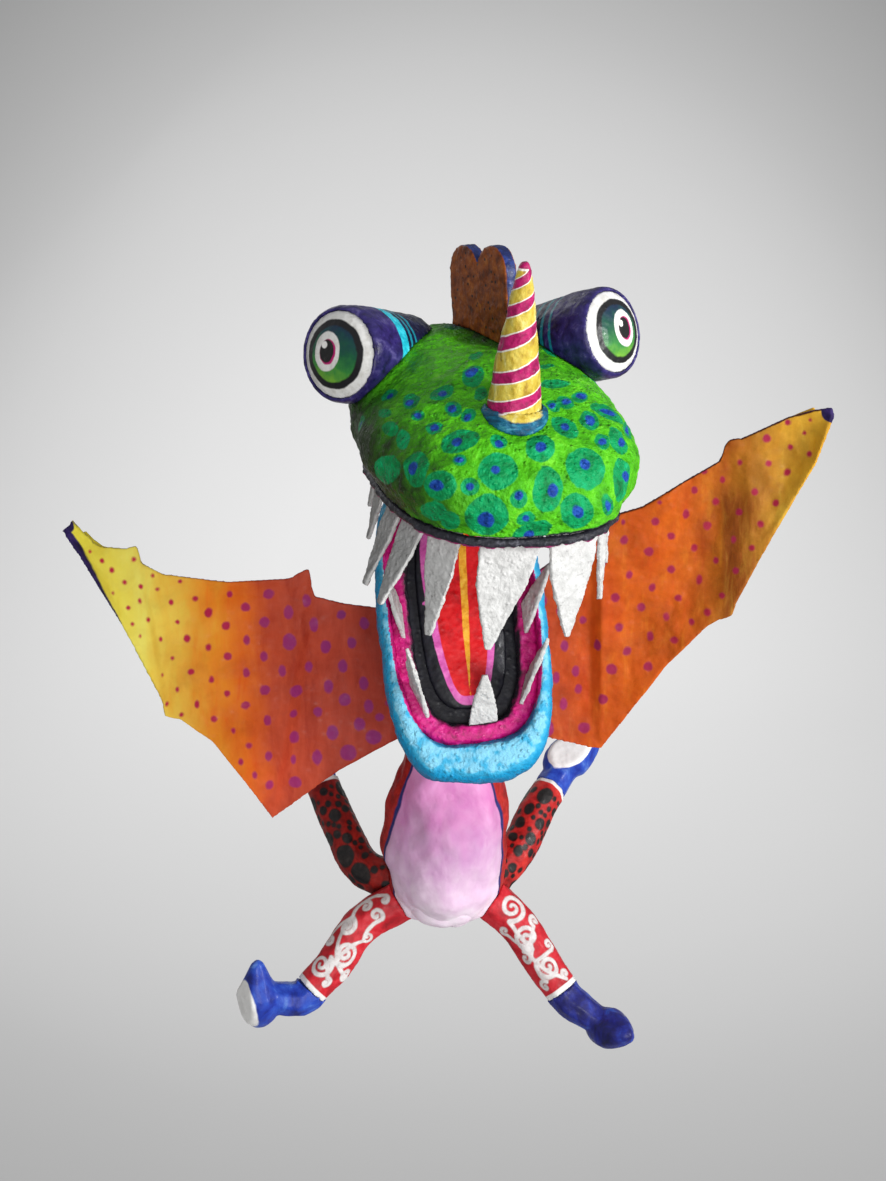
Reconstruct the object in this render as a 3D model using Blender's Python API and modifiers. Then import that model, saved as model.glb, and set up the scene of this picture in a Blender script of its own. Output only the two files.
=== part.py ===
# Alebrije figure: a winged papier-mache creature that hangs from a wire eye behind its crest.
# Left and right are the viewer's, who looks along +Y at the open mouth.

import math

import bmesh
import bpy
from mathutils import Matrix, Vector

# Driving dimensions in millimetres and degrees, in a design frame whose origin is the chest
MM = 0.001
GLUE_GAP = 0.3
PAPER_WALL = 4.0
CORE_ROOM = 2.5
CARD = 2.4
NUDGE = 0.01
SHARP_ANGLE = 40

# Upper head: its frame lies in the plane of the upper lip
HEAD_AT = (25, -80, 84)
HEAD_PITCH = 11
HEAD_YAW = 16
HEAD_HALF_WIDTH = 63
HEAD_FRONT = 82
HEAD_BACK = 92
HEAD_HEIGHT = 65
HEAD_SQUARENESS = (2.6, 2.4)
HEAD_SIDES = 32
PALATE_THICKNESS = 4
LIP_RADIUS = 2.6
LIP_REACH = 125
LIP_STEPS = 30
ROOF_SPREAD = 1.4

# Each level of the dome: height, then what it adds to the half width, the front and the back
HEAD_SWELL = (
    (0.00, 0, 0, 0),
    (0.22, 8, 4, 3),
    (0.45, 9, 0, 5),
    (0.66, 1, -15, 4),
    (0.83, -12, -38, -2),
    (0.95, -28, -64, -12),
    (1.00, -46, -90, -36),
)

# Horn, collar and crest
HORN_AT = (-5, -44)
HORN_SUNK = 14
HORN_RADIUS = 15.5
HORN_LENGTH = 84
HORN_TIP = 2.6
HORN_PROFILE = ((0.36, 0.82), (0.65, 0.50))
HORN_LEAN = 0
COLLAR_WALL = 3.2
COLLAR_RISE = 2
COLLAR_ROUND = 2
CREST_AT = (11, 33)
CREST_TWIST = 15
CREST_TILT = -12
CREST_LOBE_RADIUS = 14.5
CREST_NOTCH_ANGLE = 15
CREST_LOBE_RISE = 34.5
CREST_SUNK = 25
CREST_ARC_STEPS = 10
CREST_THICKNESS = 8

# Eyes: middle of the disc as shares of the head's half width, back and height, and the way it looks
EYES = {
    "left": {"at": (-1.22, 0.37, 0.92), "looks": (-0.77, -0.59, 0.22), "radius": 26, "stalk": 62},
    "right": {"at": (1.12, 0.20, 1.12), "looks": (0.48, -0.79, 0.37), "radius": 25, "stalk": 56},
}
EYE_RIM = 3
EYE_ROUND = 1
EYE_SOCKET_DEPTH = 5
EYE_DOME = 5
STALK_SHOULDER = 5
STALK_BARREL = 20
STALK_TAPER = 3

# Upper teeth: place round the lip, width, length, outward lean and how far the tip slants along the lip
UPPER_TEETH = {
    "left_1": (-104, 10, 25, 8, 0),
    "left_2": (-92, 14, 36, 12, 0),
    "left_3": (-78, 18, 50, 20, 0),
    "left_4": (-61.5, 19, 50, 24, 0),
    "front_left": (-42, 20, 60, 6, -3),
    "front_middle": (-7, 32, 63, 2, -9),
    "right_1": (19, 33, 61, 2, 0),
    "right_2": (46, 16, 48, 4, 0),
    "right_3": (60, 12, 34, 6, 0),
}
TOOTH_TIP = 3
TOOTH_SHOULDER_AT = 0.42
TOOTH_SHOULDER_WIDTH = 0.84
TOOTH_CLEARANCE = 1.2

# Lower jaw: its frame is at the hinge end, in the plane of the mouth floor, chin towards -Y
JAW_AT = (6, -48, 42)
JAW_PITCH = 67
JAW_ROLL = -4
JAW_YAW = 7
JAW_HALF_WIDTH = 48
JAW_CHIN = 136
JAW_HEEL = 58
JAW_DEPTH = 34
JAW_LIP_RISE = 9
JAW_SIDE_WALL = 9
JAW_CHIN_WALL = 23
HEEL_WALL = 24

# Levels of the jaw: height as a share of its depth or of its lip, then side, chin and heel insets
JAW_HULL = ((-1.0, 28, 43, 76), (-0.76, 10, 14, 40), (-0.4, 1, 0, 14), (0, 0, 0, 0))
JAW_LIP = ((0.6, 2, 3, 0), (1.0, 5, 8, 0))

# Levels of the trough below its brim: side, chin and heel insets from the brim
TROUGH_FLOOR = (14, 20, 60)
TROUGH_SIDE = (4, 6, 32)
TROUGH_MOUTH = (-2, -4, -14)

JAW_SQUARENESS = (3.4, 2.2)
JAW_SIDES = 32
TROUGH_DEPTH = 17
TROUGH_ROUND = 3
TROUGH_RUNOUT = 6
FLOOR_TOP = -8
GUM_RADIUS = 4.6
GUM_REACH = 128
GUM_STEPS = 26
TONGUE_SIDE_ROOM = 24
TONGUE_CHIN_ROOM = 41
TONGUE_HEEL_ROOM = 26
TONGUE_THICKNESS = 4
TONGUE_ROUND = 6

# Lower teeth: place round the gum, width, length and the way the tip points, in the jaw frame
LOWER_TEETH = {
    "left_back": (-88, 20, 36, (-0.20, 0.70, 0.68)),
    "left_front": (-50, 22, 40, (-0.20, 0.70, 0.66)),
    "middle": (2, 17, 36, (0.05, 0.78, 0.62)),
    "right_front": (50, 18, 38, (0.30, 0.70, 0.66)),
    "right_back": (86, 18, 38, (0.26, 0.70, 0.68)),
}

# Body: height, middle x, middle y, half width and half depth of each ring
TORSO_RINGS = (
    (-217, 1, -4, 12, 12),
    (-208, 1, -4, 26, 25),
    (-190, 2, -3, 36, 35),
    (-165, 2, -2, 40, 38),
    (-140, 3, -1, 37, 36),
    (-110, 4, 1, 29, 30),
    (-75, 6, 4, 25, 26),
    (-40, 8, 5, 25, 25),
    (-10, 9, 5, 23, 23),
    (4, 10, 4, 20, 20),
)
TORSO_SQUARENESS = (2.0, 2.0)
TORSO_SIDES = 24
NECK_PATH = ((10, 5, -4), (13, 2, 40), (17, -8, 78), (20, -16, 112))
NECK_RADII = (19, 19, 20, 21)
SPINE_PATH = ((7, 5, -84), (9, 5, -30), (10, 5, 5), (13, 2, 40), (17, -8, 78), (20, -15, 122))
SPINE_RADIUS = 1.5
LIMB_WIRE_RADIUS = 1.2
WIRE_SIDES = 1

# Limbs: path from inside the body to the cuff, radii along it, the foot and the way the sole faces
LIMBS = {
    "arm_left": {
        "path": ((-20, 10, -195), (-50, 18, -191), (-66, 35, -170), (-80, 55, -146)),
        "radii": (14, 13, 12.5, 11.5),
        "foot": (-94, 78, -118),
        "sole": (0.15, -0.65, 0.75),
        "toe": (-0.85, 0.30, 0.40),
    },
    "arm_right": {
        "path": ((30, 10, -193), (48, 20, -178), (61, 38, -158), (70, 52, -150)),
        "radii": (14, 12.5, 12, 11.5),
        "foot": (86, 68, -132),
        "sole": (-0.15, -0.65, 0.75),
        "toe": (0.85, 0.30, 0.40),
    },
    "leg_left": {
        "path": ((-22, -2, -200), (-52, -8, -217), (-68, -18, -238), (-83, -25, -252)),
        "radii": (14, 13, 12.5, 11.5),
        "foot": (-115, -34, -252),
        "sole": (-0.80, -0.58, -0.10),
        "toe": (0.05, -0.10, 1.0),
    },
    "leg_right": {
        "path": ((28, -2, -200), (48, -8, -217), (63, -18, -238), (75, -25, -253)),
        "radii": (14, 13, 12.5, 11.5),
        "foot": (104, -38, -272),
        "sole": (0.60, 0.20, -0.75),
        "toe": (0.45, -0.80, 0.30),
    },
}
FOOT_HALF_LENGTH = 22
FOOT_HALF_WIDTH = 15
FOOT_HALF_HEIGHT = 14
TOE_TAPER = 0.35
SOLE_DEPTH = 10
FOOT_SIDES = 16
ANKLE_SUNK = 4
ANKLE_LENGTH = 8
ANKLE_TAPER = 0.9
WIRE_PAST_CUFF = 10
WIRE_IN_BODY = (4, 0, -176)
WIRE_SPREAD = 9

# Wing pegs and sockets
PEG_RADIUS = 3.0
PEG_CLEARANCE = 0.5
SOCKET_WALL = 2.2
SOCKET_LENGTH = 22
SOCKET_FLOOR = 2
SOCKET_SIDES = 16
SOCKET_RUNOUT = 10
SOCKET_AT = (7, 9, -50)
SOCKET_SPREAD = 7
PEG_AXIS = (0.50, 0.72, 0.48)
PEG_NECK = 9

# Wings: leading and trailing edges as (x, z), and how far the tip sweeps forward of the root
WINGS = {
    "left": {
        "lead": ((-26, -20), (-61, -15), (-79, -10), (-83, 5), (-97, 2), (-130, 2),
                 (-167, 10), (-179, 18), (-182, 27), (-201, 30), (-211, 38), (-217, 46)),
        "trail": ((-26, -103), (-66, -125), (-101, -150), (-109, -155), (-122, -134), (-144, -99),
                  (-162, -83), (-169, -79), (-173, -66), (-192, -18), (-206, 13), (-219, 42)),
        "sweep": 52,
        "side": -1,
    },
    "right": {
        "lead": ((38, -10), (72, 16), (91, 30), (97, 40), (120, 48), (148, 67),
                 (166, 79), (170, 89), (178, 93), (200, 105), (214, 110), (223, 112)),
        "trail": ((38, -96), (65, -103), (94, -109), (100, -109), (117, -84), (138, -52),
                  (161, -25), (174, -16), (186, 12), (202, 48), (216, 78), (224, 107)),
        "sweep": 40,
        "side": 1,
    },
}
WING_ROOT_X = 24
WING_ROOT_GAP = 4.3
WING_ROOT_Y = SOCKET_AT[1] + (SOCKET_LENGTH + PEG_NECK) * PEG_AXIS[1] - WING_ROOT_GAP
WING_REACH = 200
WING_CARD = 2.4
WING_SAG = 5
WING_ROWS = 7
INNER_RIB = 3
OUTER_RIB = 8
RIB_RADIUS = 1.5
SPAR_RADIUS = 2.0
RIB_ROOM = 0.8
RIB_SHARES = (0.22, 0.45, 0.70, 0.94)
SPAR_SHARE = 0.07

# Hanging loop
LOOP_AT = (14, 62)
LOOP_RISE = 4
LOOP_RADIUS = 7
LOOP_WIRE = 1.1
LOOP_SHANK = 14
LOOP_TURN = 320
LOOP_STEPS = 20


def mm(*values):
    return Vector(values) * MM


def clear_scene():
    for thing in list(bpy.data.objects):
        bpy.data.objects.remove(thing, do_unlink=True)


def new_collection(name):
    collection = bpy.data.collections.new(name)
    bpy.context.scene.collection.children.link(collection)
    return collection


def paint(name, colour, roughness=0.5):
    material = bpy.data.materials.new(name)
    material.use_nodes = True
    shader = material.node_tree.nodes["Principled BSDF"]
    shader.inputs["Base Color"].default_value = (*colour, 1)
    shader.inputs["Roughness"].default_value = roughness
    shader.inputs["Metallic"].default_value = 1.0 if "wire" in name else 0.0
    return material


def add_frame(name, parent, matrix):
    frame = bpy.data.objects.new(name, None)
    parts.objects.link(frame)
    frame.parent = parent
    frame.matrix_basis = matrix
    bpy.context.view_layer.update()
    return frame


def place(mesh, name, frame, material=None):
    """A part has a material; a cutter has none."""
    thing = bpy.data.objects.new(name, mesh)
    thing.parent = frame
    if material:
        mesh.materials.append(material)
        mesh.shade_smooth()
        mesh.set_sharp_from_angle(angle=math.radians(SHARP_ANGLE))
        parts.objects.link(thing)
    else:
        thing.hide_render = True
        thing.display_type = "WIRE"
        cutters.objects.link(thing)
    return thing


def finish_mesh(name, bm, closed=True):
    if closed:
        bmesh.ops.recalc_face_normals(bm, faces=bm.faces)
    mesh = bpy.data.meshes.new(name)
    bm.to_mesh(mesh)
    bm.free()
    return mesh


def cut(piece, cutter):
    modifier = piece.modifiers.new("cut_" + cutter.name, "BOOLEAN")
    modifier.operation = "DIFFERENCE"
    modifier.object = cutter


def signed_power(value, power):
    return math.copysign(abs(value) ** power, value)


def outline_point(half_width, front, back, squareness, turn):
    """A point of a rounded outline: turn 0 is the front (-Y), a quarter turn is +X."""
    middle = (front + back) / 2
    half_length = (back - front) / 2
    power = 2 / squareness[0 if math.cos(turn) > 0 else 1]
    x = half_width * signed_power(math.sin(turn), power)
    y = middle - half_length * signed_power(math.cos(turn), power)
    return x, y


def ring(half_width, front, back, z, squareness, sides, middle_x=0):
    points = []
    for step in range(sides):
        x, y = outline_point(half_width, front, back, squareness, 2 * math.pi * step / sides)
        points.append(mm(middle_x + x, y, z))
    return points


def loft(name, rings, frame, material=None, open_start=False):
    """A skin through rings listed bottom to top, closed at the top."""
    bm = bmesh.new()
    rows = [[bm.verts.new(point) for point in points] for points in rings]
    for low, high in zip(rows, rows[1:]):
        for step in range(len(low)):
            after = (step + 1) % len(low)
            bm.faces.new((low[step], low[after], high[after], high[step]))
    bm.faces.new(rows[-1])
    if not open_start:
        bm.faces.new(list(reversed(rows[0])))
    return place(finish_mesh(name, bm, not open_start), name, frame, material)


def curve_mesh(name, points, radii, resolution):
    """A tube along the points, welded at its caps."""
    curve = bpy.data.curves.new(name, "CURVE")
    curve.dimensions = "3D"
    curve.bevel_depth = MM
    curve.bevel_resolution = resolution
    curve.use_fill_caps = True
    spline = curve.splines.new("POLY")
    spline.points.add(len(points) - 1)
    for knot, point, radius in zip(spline.points, points, radii):
        knot.co = (*point, 1)
        knot.radius = radius
    return welded(name, curve)


def welded(name, curve):
    guide = bpy.data.objects.new(name + "_guide", curve)
    cutters.objects.link(guide)
    bpy.context.view_layer.update()
    graph = bpy.context.evaluated_depsgraph_get()
    mesh = bpy.data.meshes.new_from_object(guide.evaluated_get(graph))
    bpy.data.objects.remove(guide, do_unlink=True)
    bm = bmesh.new()
    bm.from_mesh(mesh)
    bmesh.ops.remove_doubles(bm, verts=bm.verts, dist=MM / 1000)
    return finish_mesh(name, bm)


def smooth_path(knots, steps):
    """Points along a smooth curve through the knots, in the knots' own units."""
    padded = [2 * knots[0] - knots[1], *knots, 2 * knots[-1] - knots[-2]]
    points = []
    for index in range(1, len(padded) - 2):
        before, start, end, after = padded[index - 1:index + 3]
        for step in range(steps):
            t = step / steps
            points.append(
                0.5 * (2 * start + (end - before) * t
                       + (2 * before - 5 * start + 4 * end - after) * t * t
                       + (3 * start - before - 3 * end + after) * t * t * t)
            )
    points.append(padded[-2])
    return points


def tube(name, knots, radii, frame, material=None, resolution=2, steps=3, stretch=0.0):
    """A tube through knots in millimetres. A cutter is stretched a little past both ends."""
    points = smooth_path([mm(*knot) for knot in knots], steps)
    widths = smooth_path([Vector((radius,)*2) for radius in radii], steps)
    points[0] = points[0] + (points[0] - points[1]).normalized() * stretch * MM
    points[-1] = points[-1] + (points[-1] - points[-2]).normalized() * stretch * MM
    mesh = curve_mesh(name, points, [width.x for width in widths], resolution)
    return place(mesh, name, frame, material)


def turned(name, profile, frame, material=None, sides=24):
    """A shape turned about Z from a profile of (radius, height), listed down its outer side."""
    bm = bmesh.new()
    verts = [bm.verts.new(mm(radius, 0, height)) for radius, height in profile]
    for first, second in zip(verts, verts[1:]):
        bm.edges.new((first, second))
    if profile[0][0] > 0:
        bm.edges.new((verts[-1], verts[0]))
    thing = place(finish_mesh(name, bm, False), name, frame, material)
    screw = thing.modifiers.new("turn", "SCREW")
    screw.steps = sides
    screw.render_steps = sides
    screw.use_merge_vertices = True
    screw.merge_threshold = MM / 100
    return thing


def card(name, outline, thickness, frame, matrix, material):
    """A flat piece cut from board, its outline in millimetres in its own XY plane."""
    curve = bpy.data.curves.new(name, "CURVE")
    curve.dimensions = "2D"
    curve.fill_mode = "BOTH"
    curve.extrude = thickness * MM / 2
    spline = curve.splines.new("POLY")
    spline.points.add(len(outline) - 1)
    for knot, (x, y) in zip(spline.points, outline):
        knot.co = (x * MM, y * MM, 0, 1)
    spline.use_cyclic_u = True
    mesh = welded(name, curve)
    mesh.transform(matrix)
    return place(mesh, name, frame, material)


def turn_about(axis, degrees):
    return Matrix.Rotation(math.radians(degrees), 4, axis)


def axes(x_axis, y_axis, z_axis, origin):
    matrix = Matrix((x_axis, y_axis, z_axis)).transposed().to_4x4()
    matrix.translation = origin
    return matrix


def facing(z_axis, x_axis, origin):
    """A frame at origin, in millimetres, whose Z looks along z_axis and X lies near x_axis."""
    z = Vector(z_axis).normalized()
    y = z.cross(Vector(x_axis)).normalized()
    return axes(y.cross(z), y, z, mm(*origin))


def head_level(level, grow):
    """Half width, front, back and height of one level of the upper head, grown by a clearance."""
    share, wider, further, deeper = level
    half_width = HEAD_HALF_WIDTH + wider + grow
    front = -HEAD_FRONT - further - grow
    back = HEAD_BACK + deeper + grow
    return half_width, front, back, share * HEAD_HEIGHT


def head_rings(grow=0.0, lift=0.0):
    rings = []
    for level in HEAD_SWELL:
        half_width, front, back, z = head_level(level, grow)
        rings.append(ring(half_width, front, back, z + lift * level[0], HEAD_SQUARENESS, HEAD_SIDES))
    return rings


def head_top(x, y):
    """Height of the upper head's outside above a point of the lip plane."""
    low_z, low_reach = 0.0, 0.0
    for level in HEAD_SWELL:
        half_width, front, back, z = head_level(level, 0)
        middle = (front + back) / 2
        power = HEAD_SQUARENESS[0 if y < middle else 1]
        reach = abs(x / half_width) ** power + abs((y - middle) * 2 / (back - front)) ** power
        if reach > 1:
            return low_z + (z - low_z) * (1 - low_reach) / (reach - low_reach)
        low_z, low_reach = z, reach
    return HEAD_HEIGHT


def lip_point(turn, inset, z):
    """A point on the upper lip's outline, inset from the shell's outside, with its tangent."""
    half_width, front, back, _ = head_level(HEAD_SWELL[0], -inset)
    x, y = outline_point(half_width, front, back, HEAD_SQUARENESS, turn)
    ahead = outline_point(half_width, front, back, HEAD_SQUARENESS, turn + NUDGE)
    return Vector((x, y, z)), Vector((ahead[0] - x, ahead[1] - y, 0)).normalized()


def build_head(head):
    shell = loft("head_shell", head_rings(), head, green, open_start=True)
    wall = shell.modifiers.new("wall", "SOLIDIFY")
    wall.thickness = PAPER_WALL * MM
    wall.offset = -1
    wall.use_even_offset = True
    room = PAPER_WALL + CORE_ROOM
    core_rings = head_rings(-room, -room)
    core_rings[0] = ring(
        HEAD_HALF_WIDTH - room, room - HEAD_FRONT, HEAD_BACK - room,
        PALATE_THICKNESS + CORE_ROOM, HEAD_SQUARENESS, HEAD_SIDES,
    )
    core = loft("head_core", core_rings, head, newsprint)
    edge = PAPER_WALL + CORE_ROOM / 2
    plate_rings = [
        ring(HEAD_HALF_WIDTH - edge, edge - HEAD_FRONT, HEAD_BACK - edge, z, HEAD_SQUARENESS, HEAD_SIDES)
        for z in (0, PALATE_THICKNESS)
    ]
    palate = loft("palate", plate_rings, head, magenta)
    reach = math.radians(LIP_REACH)
    lip_z = -LIP_RADIUS - GLUE_GAP
    lip = []
    for step in range(LIP_STEPS + 1):
        point, _ = lip_point(reach * (2 * step / LIP_STEPS - 1), PAPER_WALL / 2, lip_z)
        lip.append(point * MM)
    place(curve_mesh("upper_lip", lip, [LIP_RADIUS] * len(lip), 1), "upper_lip", head, charcoal)
    return shell, core, palate


def head_cutter(head):
    """The upper head's outside, grown by the glue gap, that trims what sits on it."""
    rings = head_rings(GLUE_GAP, GLUE_GAP)
    return loft("head_outside", rings, head)


def tooth_outline(width, length, slant):
    """A blade that keeps most of its width down to the shoulders and then runs to a blunt tip."""
    shoulder = width / 2 * TOOTH_SHOULDER_WIDTH
    drift = slant * TOOTH_SHOULDER_AT
    height = length * TOOTH_SHOULDER_AT
    return (
        (-width / 2, 0), (width / 2, 0), (drift + shoulder, height),
        (slant + TOOTH_TIP / 2, length), (slant - TOOTH_TIP / 2, length), (drift - shoulder, height),
    )


def build_upper_teeth(head):
    for name, (angle, width, length, lean, slant) in UPPER_TEETH.items():
        bulge = width * width / (8 * HEAD_HALF_WIDTH)
        inset = PAPER_WALL / 2 + LIP_RADIUS + CARD / 2 + TOOTH_CLEARANCE + bulge
        base, tangent = lip_point(math.radians(angle), inset, -GLUE_GAP)
        outward = tangent.cross(Vector((0, 0, 1)))
        down = Vector((0, 0, -math.cos(math.radians(lean)))) + outward * math.sin(math.radians(lean))
        base = base + down * CARD * math.sin(math.radians(lean))
        outline = tooth_outline(width, length, slant)
        matrix = axes(tangent, down, tangent.cross(down), base * MM)
        card("upper_tooth_" + name, outline, CARD, head, matrix, bone)


def build_horn(head, outside):
    foot = head_top(*HORN_AT) - HORN_SUNK
    spot = add_frame("horn_frame", head, Matrix.Translation(mm(*HORN_AT, foot)) @ turn_about("Y", HORN_LEAN))
    sides = [(HORN_RADIUS * width, HORN_LENGTH * height) for width, height in HORN_PROFILE]
    tip = (HORN_TIP, HORN_LENGTH - HORN_TIP / 2)
    horn = turned("horn", ((0, HORN_LENGTH), tip, *sides, (HORN_RADIUS, 0), (0, 0)), spot, yellow)
    cut(horn, outside)
    slope = (HORN_RADIUS - sides[-1][0]) / sides[-1][1]
    top = HORN_SUNK + COLLAR_RISE
    inner_top = HORN_RADIUS - slope * top + GLUE_GAP
    inner_foot = HORN_RADIUS + GLUE_GAP
    collar = turned(
        "horn_collar",
        ((inner_top + GLUE_GAP, top), (inner_top + COLLAR_WALL, top - COLLAR_ROUND),
         (inner_foot + COLLAR_WALL, 0), (inner_foot, 0)),
        spot, teal,
    )
    cut(collar, outside)


def build_crest(head, outside):
    lobe_start = math.radians(CREST_NOTCH_ANGLE)
    lobe_offset = CREST_LOBE_RADIUS * math.cos(lobe_start)
    foot = HEAD_HEIGHT - CREST_SUNK
    outline = [(lobe_offset + CREST_LOBE_RADIUS, foot)]
    for side in (1, -1):
        for step in range(CREST_ARC_STEPS + 1):
            sweep = (math.pi - lobe_start) * step / CREST_ARC_STEPS
            turn = sweep if side > 0 else lobe_start + sweep
            outline.append((
                side * lobe_offset + CREST_LOBE_RADIUS * math.cos(turn),
                HEAD_HEIGHT + CREST_LOBE_RISE + CREST_LOBE_RADIUS * math.sin(turn),
            ))
    outline.append((-lobe_offset - CREST_LOBE_RADIUS, foot))
    turn = turn_about("Z", CREST_TWIST) @ turn_about("X", CREST_TILT)
    along = turn @ Vector((0, 1, 0))
    up = turn @ Vector((0, 0, 1))
    matrix = axes(along, up, along.cross(up), mm(*CREST_AT, 0))
    tidy = [point for index, point in enumerate(outline) if point not in outline[:index]]
    crest = card("crest", tidy, CREST_THICKNESS, head, matrix, orange)
    cut(crest, outside)


def build_eyes(head, outside):
    for side, eye in EYES.items():
        at = [share * size for share, size in zip(eye["at"], (HEAD_HALF_WIDTH, HEAD_BACK, HEAD_HEIGHT))]
        spot = add_frame("eye_frame_" + side, head, facing(eye["looks"], (0, 0, 1), at))
        radius = eye["radius"]
        seat = radius - EYE_RIM
        stalk = turned(
            "eye_stalk_" + side,
            ((seat, 0), (radius - EYE_ROUND, -EYE_ROUND), (radius, -STALK_SHOULDER), (radius, -STALK_BARREL),
             (radius - STALK_TAPER, -eye["stalk"]), (0, -eye["stalk"]),
             (0, -EYE_SOCKET_DEPTH), (seat, -EYE_SOCKET_DEPTH)),
            spot, indigo,
        )
        cut(stalk, outside)
        disc = seat - GLUE_GAP
        turned(
            "eye_" + side,
            ((0, EYE_DOME), (disc * 0.5, EYE_DOME * 0.8), (disc * 0.85, EYE_DOME * 0.3), (disc, -EYE_ROUND),
             (disc, GLUE_GAP - EYE_SOCKET_DEPTH), (0, GLUE_GAP - EYE_SOCKET_DEPTH)),
            spot, white,
        )


def jaw_ring(inset, chin_inset, heel_inset, z):
    return ring(
        JAW_HALF_WIDTH - inset, chin_inset - JAW_CHIN, JAW_HEEL - heel_inset, z, JAW_SQUARENESS, JAW_SIDES
    )


def gum_point(turn):
    room = GUM_RADIUS + 5 * GLUE_GAP
    size = (JAW_HALF_WIDTH - JAW_SIDE_WALL - room, JAW_CHIN_WALL + room - JAW_CHIN, JAW_HEEL - HEEL_WALL)
    x, y = outline_point(*size, JAW_SQUARENESS, turn)
    ahead = outline_point(*size, JAW_SQUARENESS, turn + NUDGE)
    z = FLOOR_TOP + GUM_RADIUS + GLUE_GAP
    return Vector((x, y, z)), Vector((ahead[0] - x, ahead[1] - y, 0)).normalized()


def jaw_outside(name, jaw, material=None, grow=0.0):
    rings = []
    for share, side, chin, heel in JAW_HULL:
        rings.append(jaw_ring(side - grow, chin - grow, heel - grow, share * (JAW_DEPTH + grow)))
    for share, side, chin, heel in JAW_LIP:
        rings.append(jaw_ring(side - grow, chin - grow, heel - grow, share * (JAW_LIP_RISE + grow)))
    return loft(name, rings, jaw, material)


def trough_ring(insets, room, z):
    side, chin, heel = insets
    return jaw_ring(JAW_SIDE_WALL + side + room, JAW_CHIN_WALL + chin + room, HEEL_WALL + heel + room, z)


def trough_rings(room=0.0):
    """The hollow of the jaw up to its brim, or the lining that fits it with some room."""
    return [
        trough_ring(TROUGH_FLOOR, room, room - TROUGH_DEPTH),
        trough_ring(TROUGH_SIDE, room, room + TROUGH_ROUND - TROUGH_DEPTH),
        trough_ring((0, 0, 0), room, FLOOR_TOP),
    ]


def build_jaw(jaw, mouth_roof):
    shell = jaw_outside("lower_jaw", jaw, cyan)
    mouth = trough_ring(TROUGH_MOUTH, 0, JAW_LIP_RISE + TROUGH_RUNOUT)
    trough = loft("trough", [*trough_rings(), mouth], jaw)
    cut(shell, trough)
    cut(shell, mouth_roof)
    floor = loft("mouth_floor", trough_rings(2 * GLUE_GAP), jaw, black)
    cut(floor, mouth_roof)
    reach = math.radians(GUM_REACH)
    turns = [reach * (2 * step / GUM_STEPS - 1) for step in range(GUM_STEPS + 1)]
    gum_path = [gum_point(turn)[0] * MM for turn in turns]
    gum = place(curve_mesh("gum", gum_path, [GUM_RADIUS] * len(gum_path), 1), "gum", jaw, magenta)
    cut(gum, mouth_roof)
    tongue_base = FLOOR_TOP + GLUE_GAP
    tongue_rings = []
    for inset, rise in ((0, 0), (GLUE_GAP, 0.6 * TONGUE_THICKNESS), (TONGUE_ROUND, TONGUE_THICKNESS)):
        tongue_rings.append(jaw_ring(
            TONGUE_SIDE_ROOM + inset, TONGUE_CHIN_ROOM + inset, TONGUE_HEEL_ROOM + inset, tongue_base + rise
        ))
    tongue = loft("tongue", tongue_rings, jaw, red)
    cut(tongue, mouth_roof)
    gum_outside = [GUM_RADIUS + GLUE_GAP] * len(gum_path)
    gum_cutter = place(curve_mesh("gum_outside", gum_path, gum_outside, 1), "gum_outside", jaw)
    return gum_cutter


def build_lower_teeth(jaw, gum_cutter):
    for name, (angle, width, length, points_to) in LOWER_TEETH.items():
        base, tangent = gum_point(math.radians(angle))
        rise = Vector(points_to)
        rise = (rise - tangent * rise.dot(tangent)).normalized()
        slant = Vector(points_to).dot(tangent) * length
        outline = tooth_outline(width, length, slant)
        matrix = axes(tangent, rise, tangent.cross(rise), base * MM)
        tooth = card("lower_tooth_" + name, outline, CARD, jaw, matrix, bone)
        cut(tooth, gum_cutter)


def torso_rings(grow=0.0):
    rings = []
    for z, middle_x, middle_y, half_width, half_depth in TORSO_RINGS:
        z = z + grow if z > 0 else z - grow if z < TORSO_RINGS[1][0] else z
        rings.append(ring(
            half_width + grow, middle_y - half_depth - grow, middle_y + half_depth + grow, z,
            TORSO_SQUARENESS, TORSO_SIDES, middle_x,
        ))
    return rings


def build_body(figure, mouth_roof, jaw_cutter, torso_cutter):
    shell_rings = torso_rings()
    shell = loft("torso_shell", list(reversed(shell_rings)), figure, crimson, open_start=True)
    shell.data.flip_normals()
    wall = shell.modifiers.new("wall", "SOLIDIFY")
    wall.thickness = PAPER_WALL * MM
    wall.offset = -1
    wall.use_even_offset = True
    room = PAPER_WALL + CORE_ROOM
    core = loft("torso_core", torso_rings(-room)[2:-1], figure, newsprint)
    neck = tube("neck", NECK_PATH, NECK_RADII, figure, crimson, resolution=3)
    for cutter in (mouth_roof, jaw_cutter, torso_cutter):
        cut(neck, cutter)
    return shell, core, neck


def build_spine(figure, bored):
    radii = [SPINE_RADIUS] * len(SPINE_PATH)
    tube("spine_wire", SPINE_PATH, radii, figure, steel_wire, WIRE_SIDES)
    wide = [SPINE_RADIUS + GLUE_GAP] * len(SPINE_PATH)
    bore = tube("spine_bore", SPINE_PATH, wide, figure, None, WIRE_SIDES, stretch=GLUE_GAP)
    for piece in bored:
        cut(piece, bore)


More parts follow.
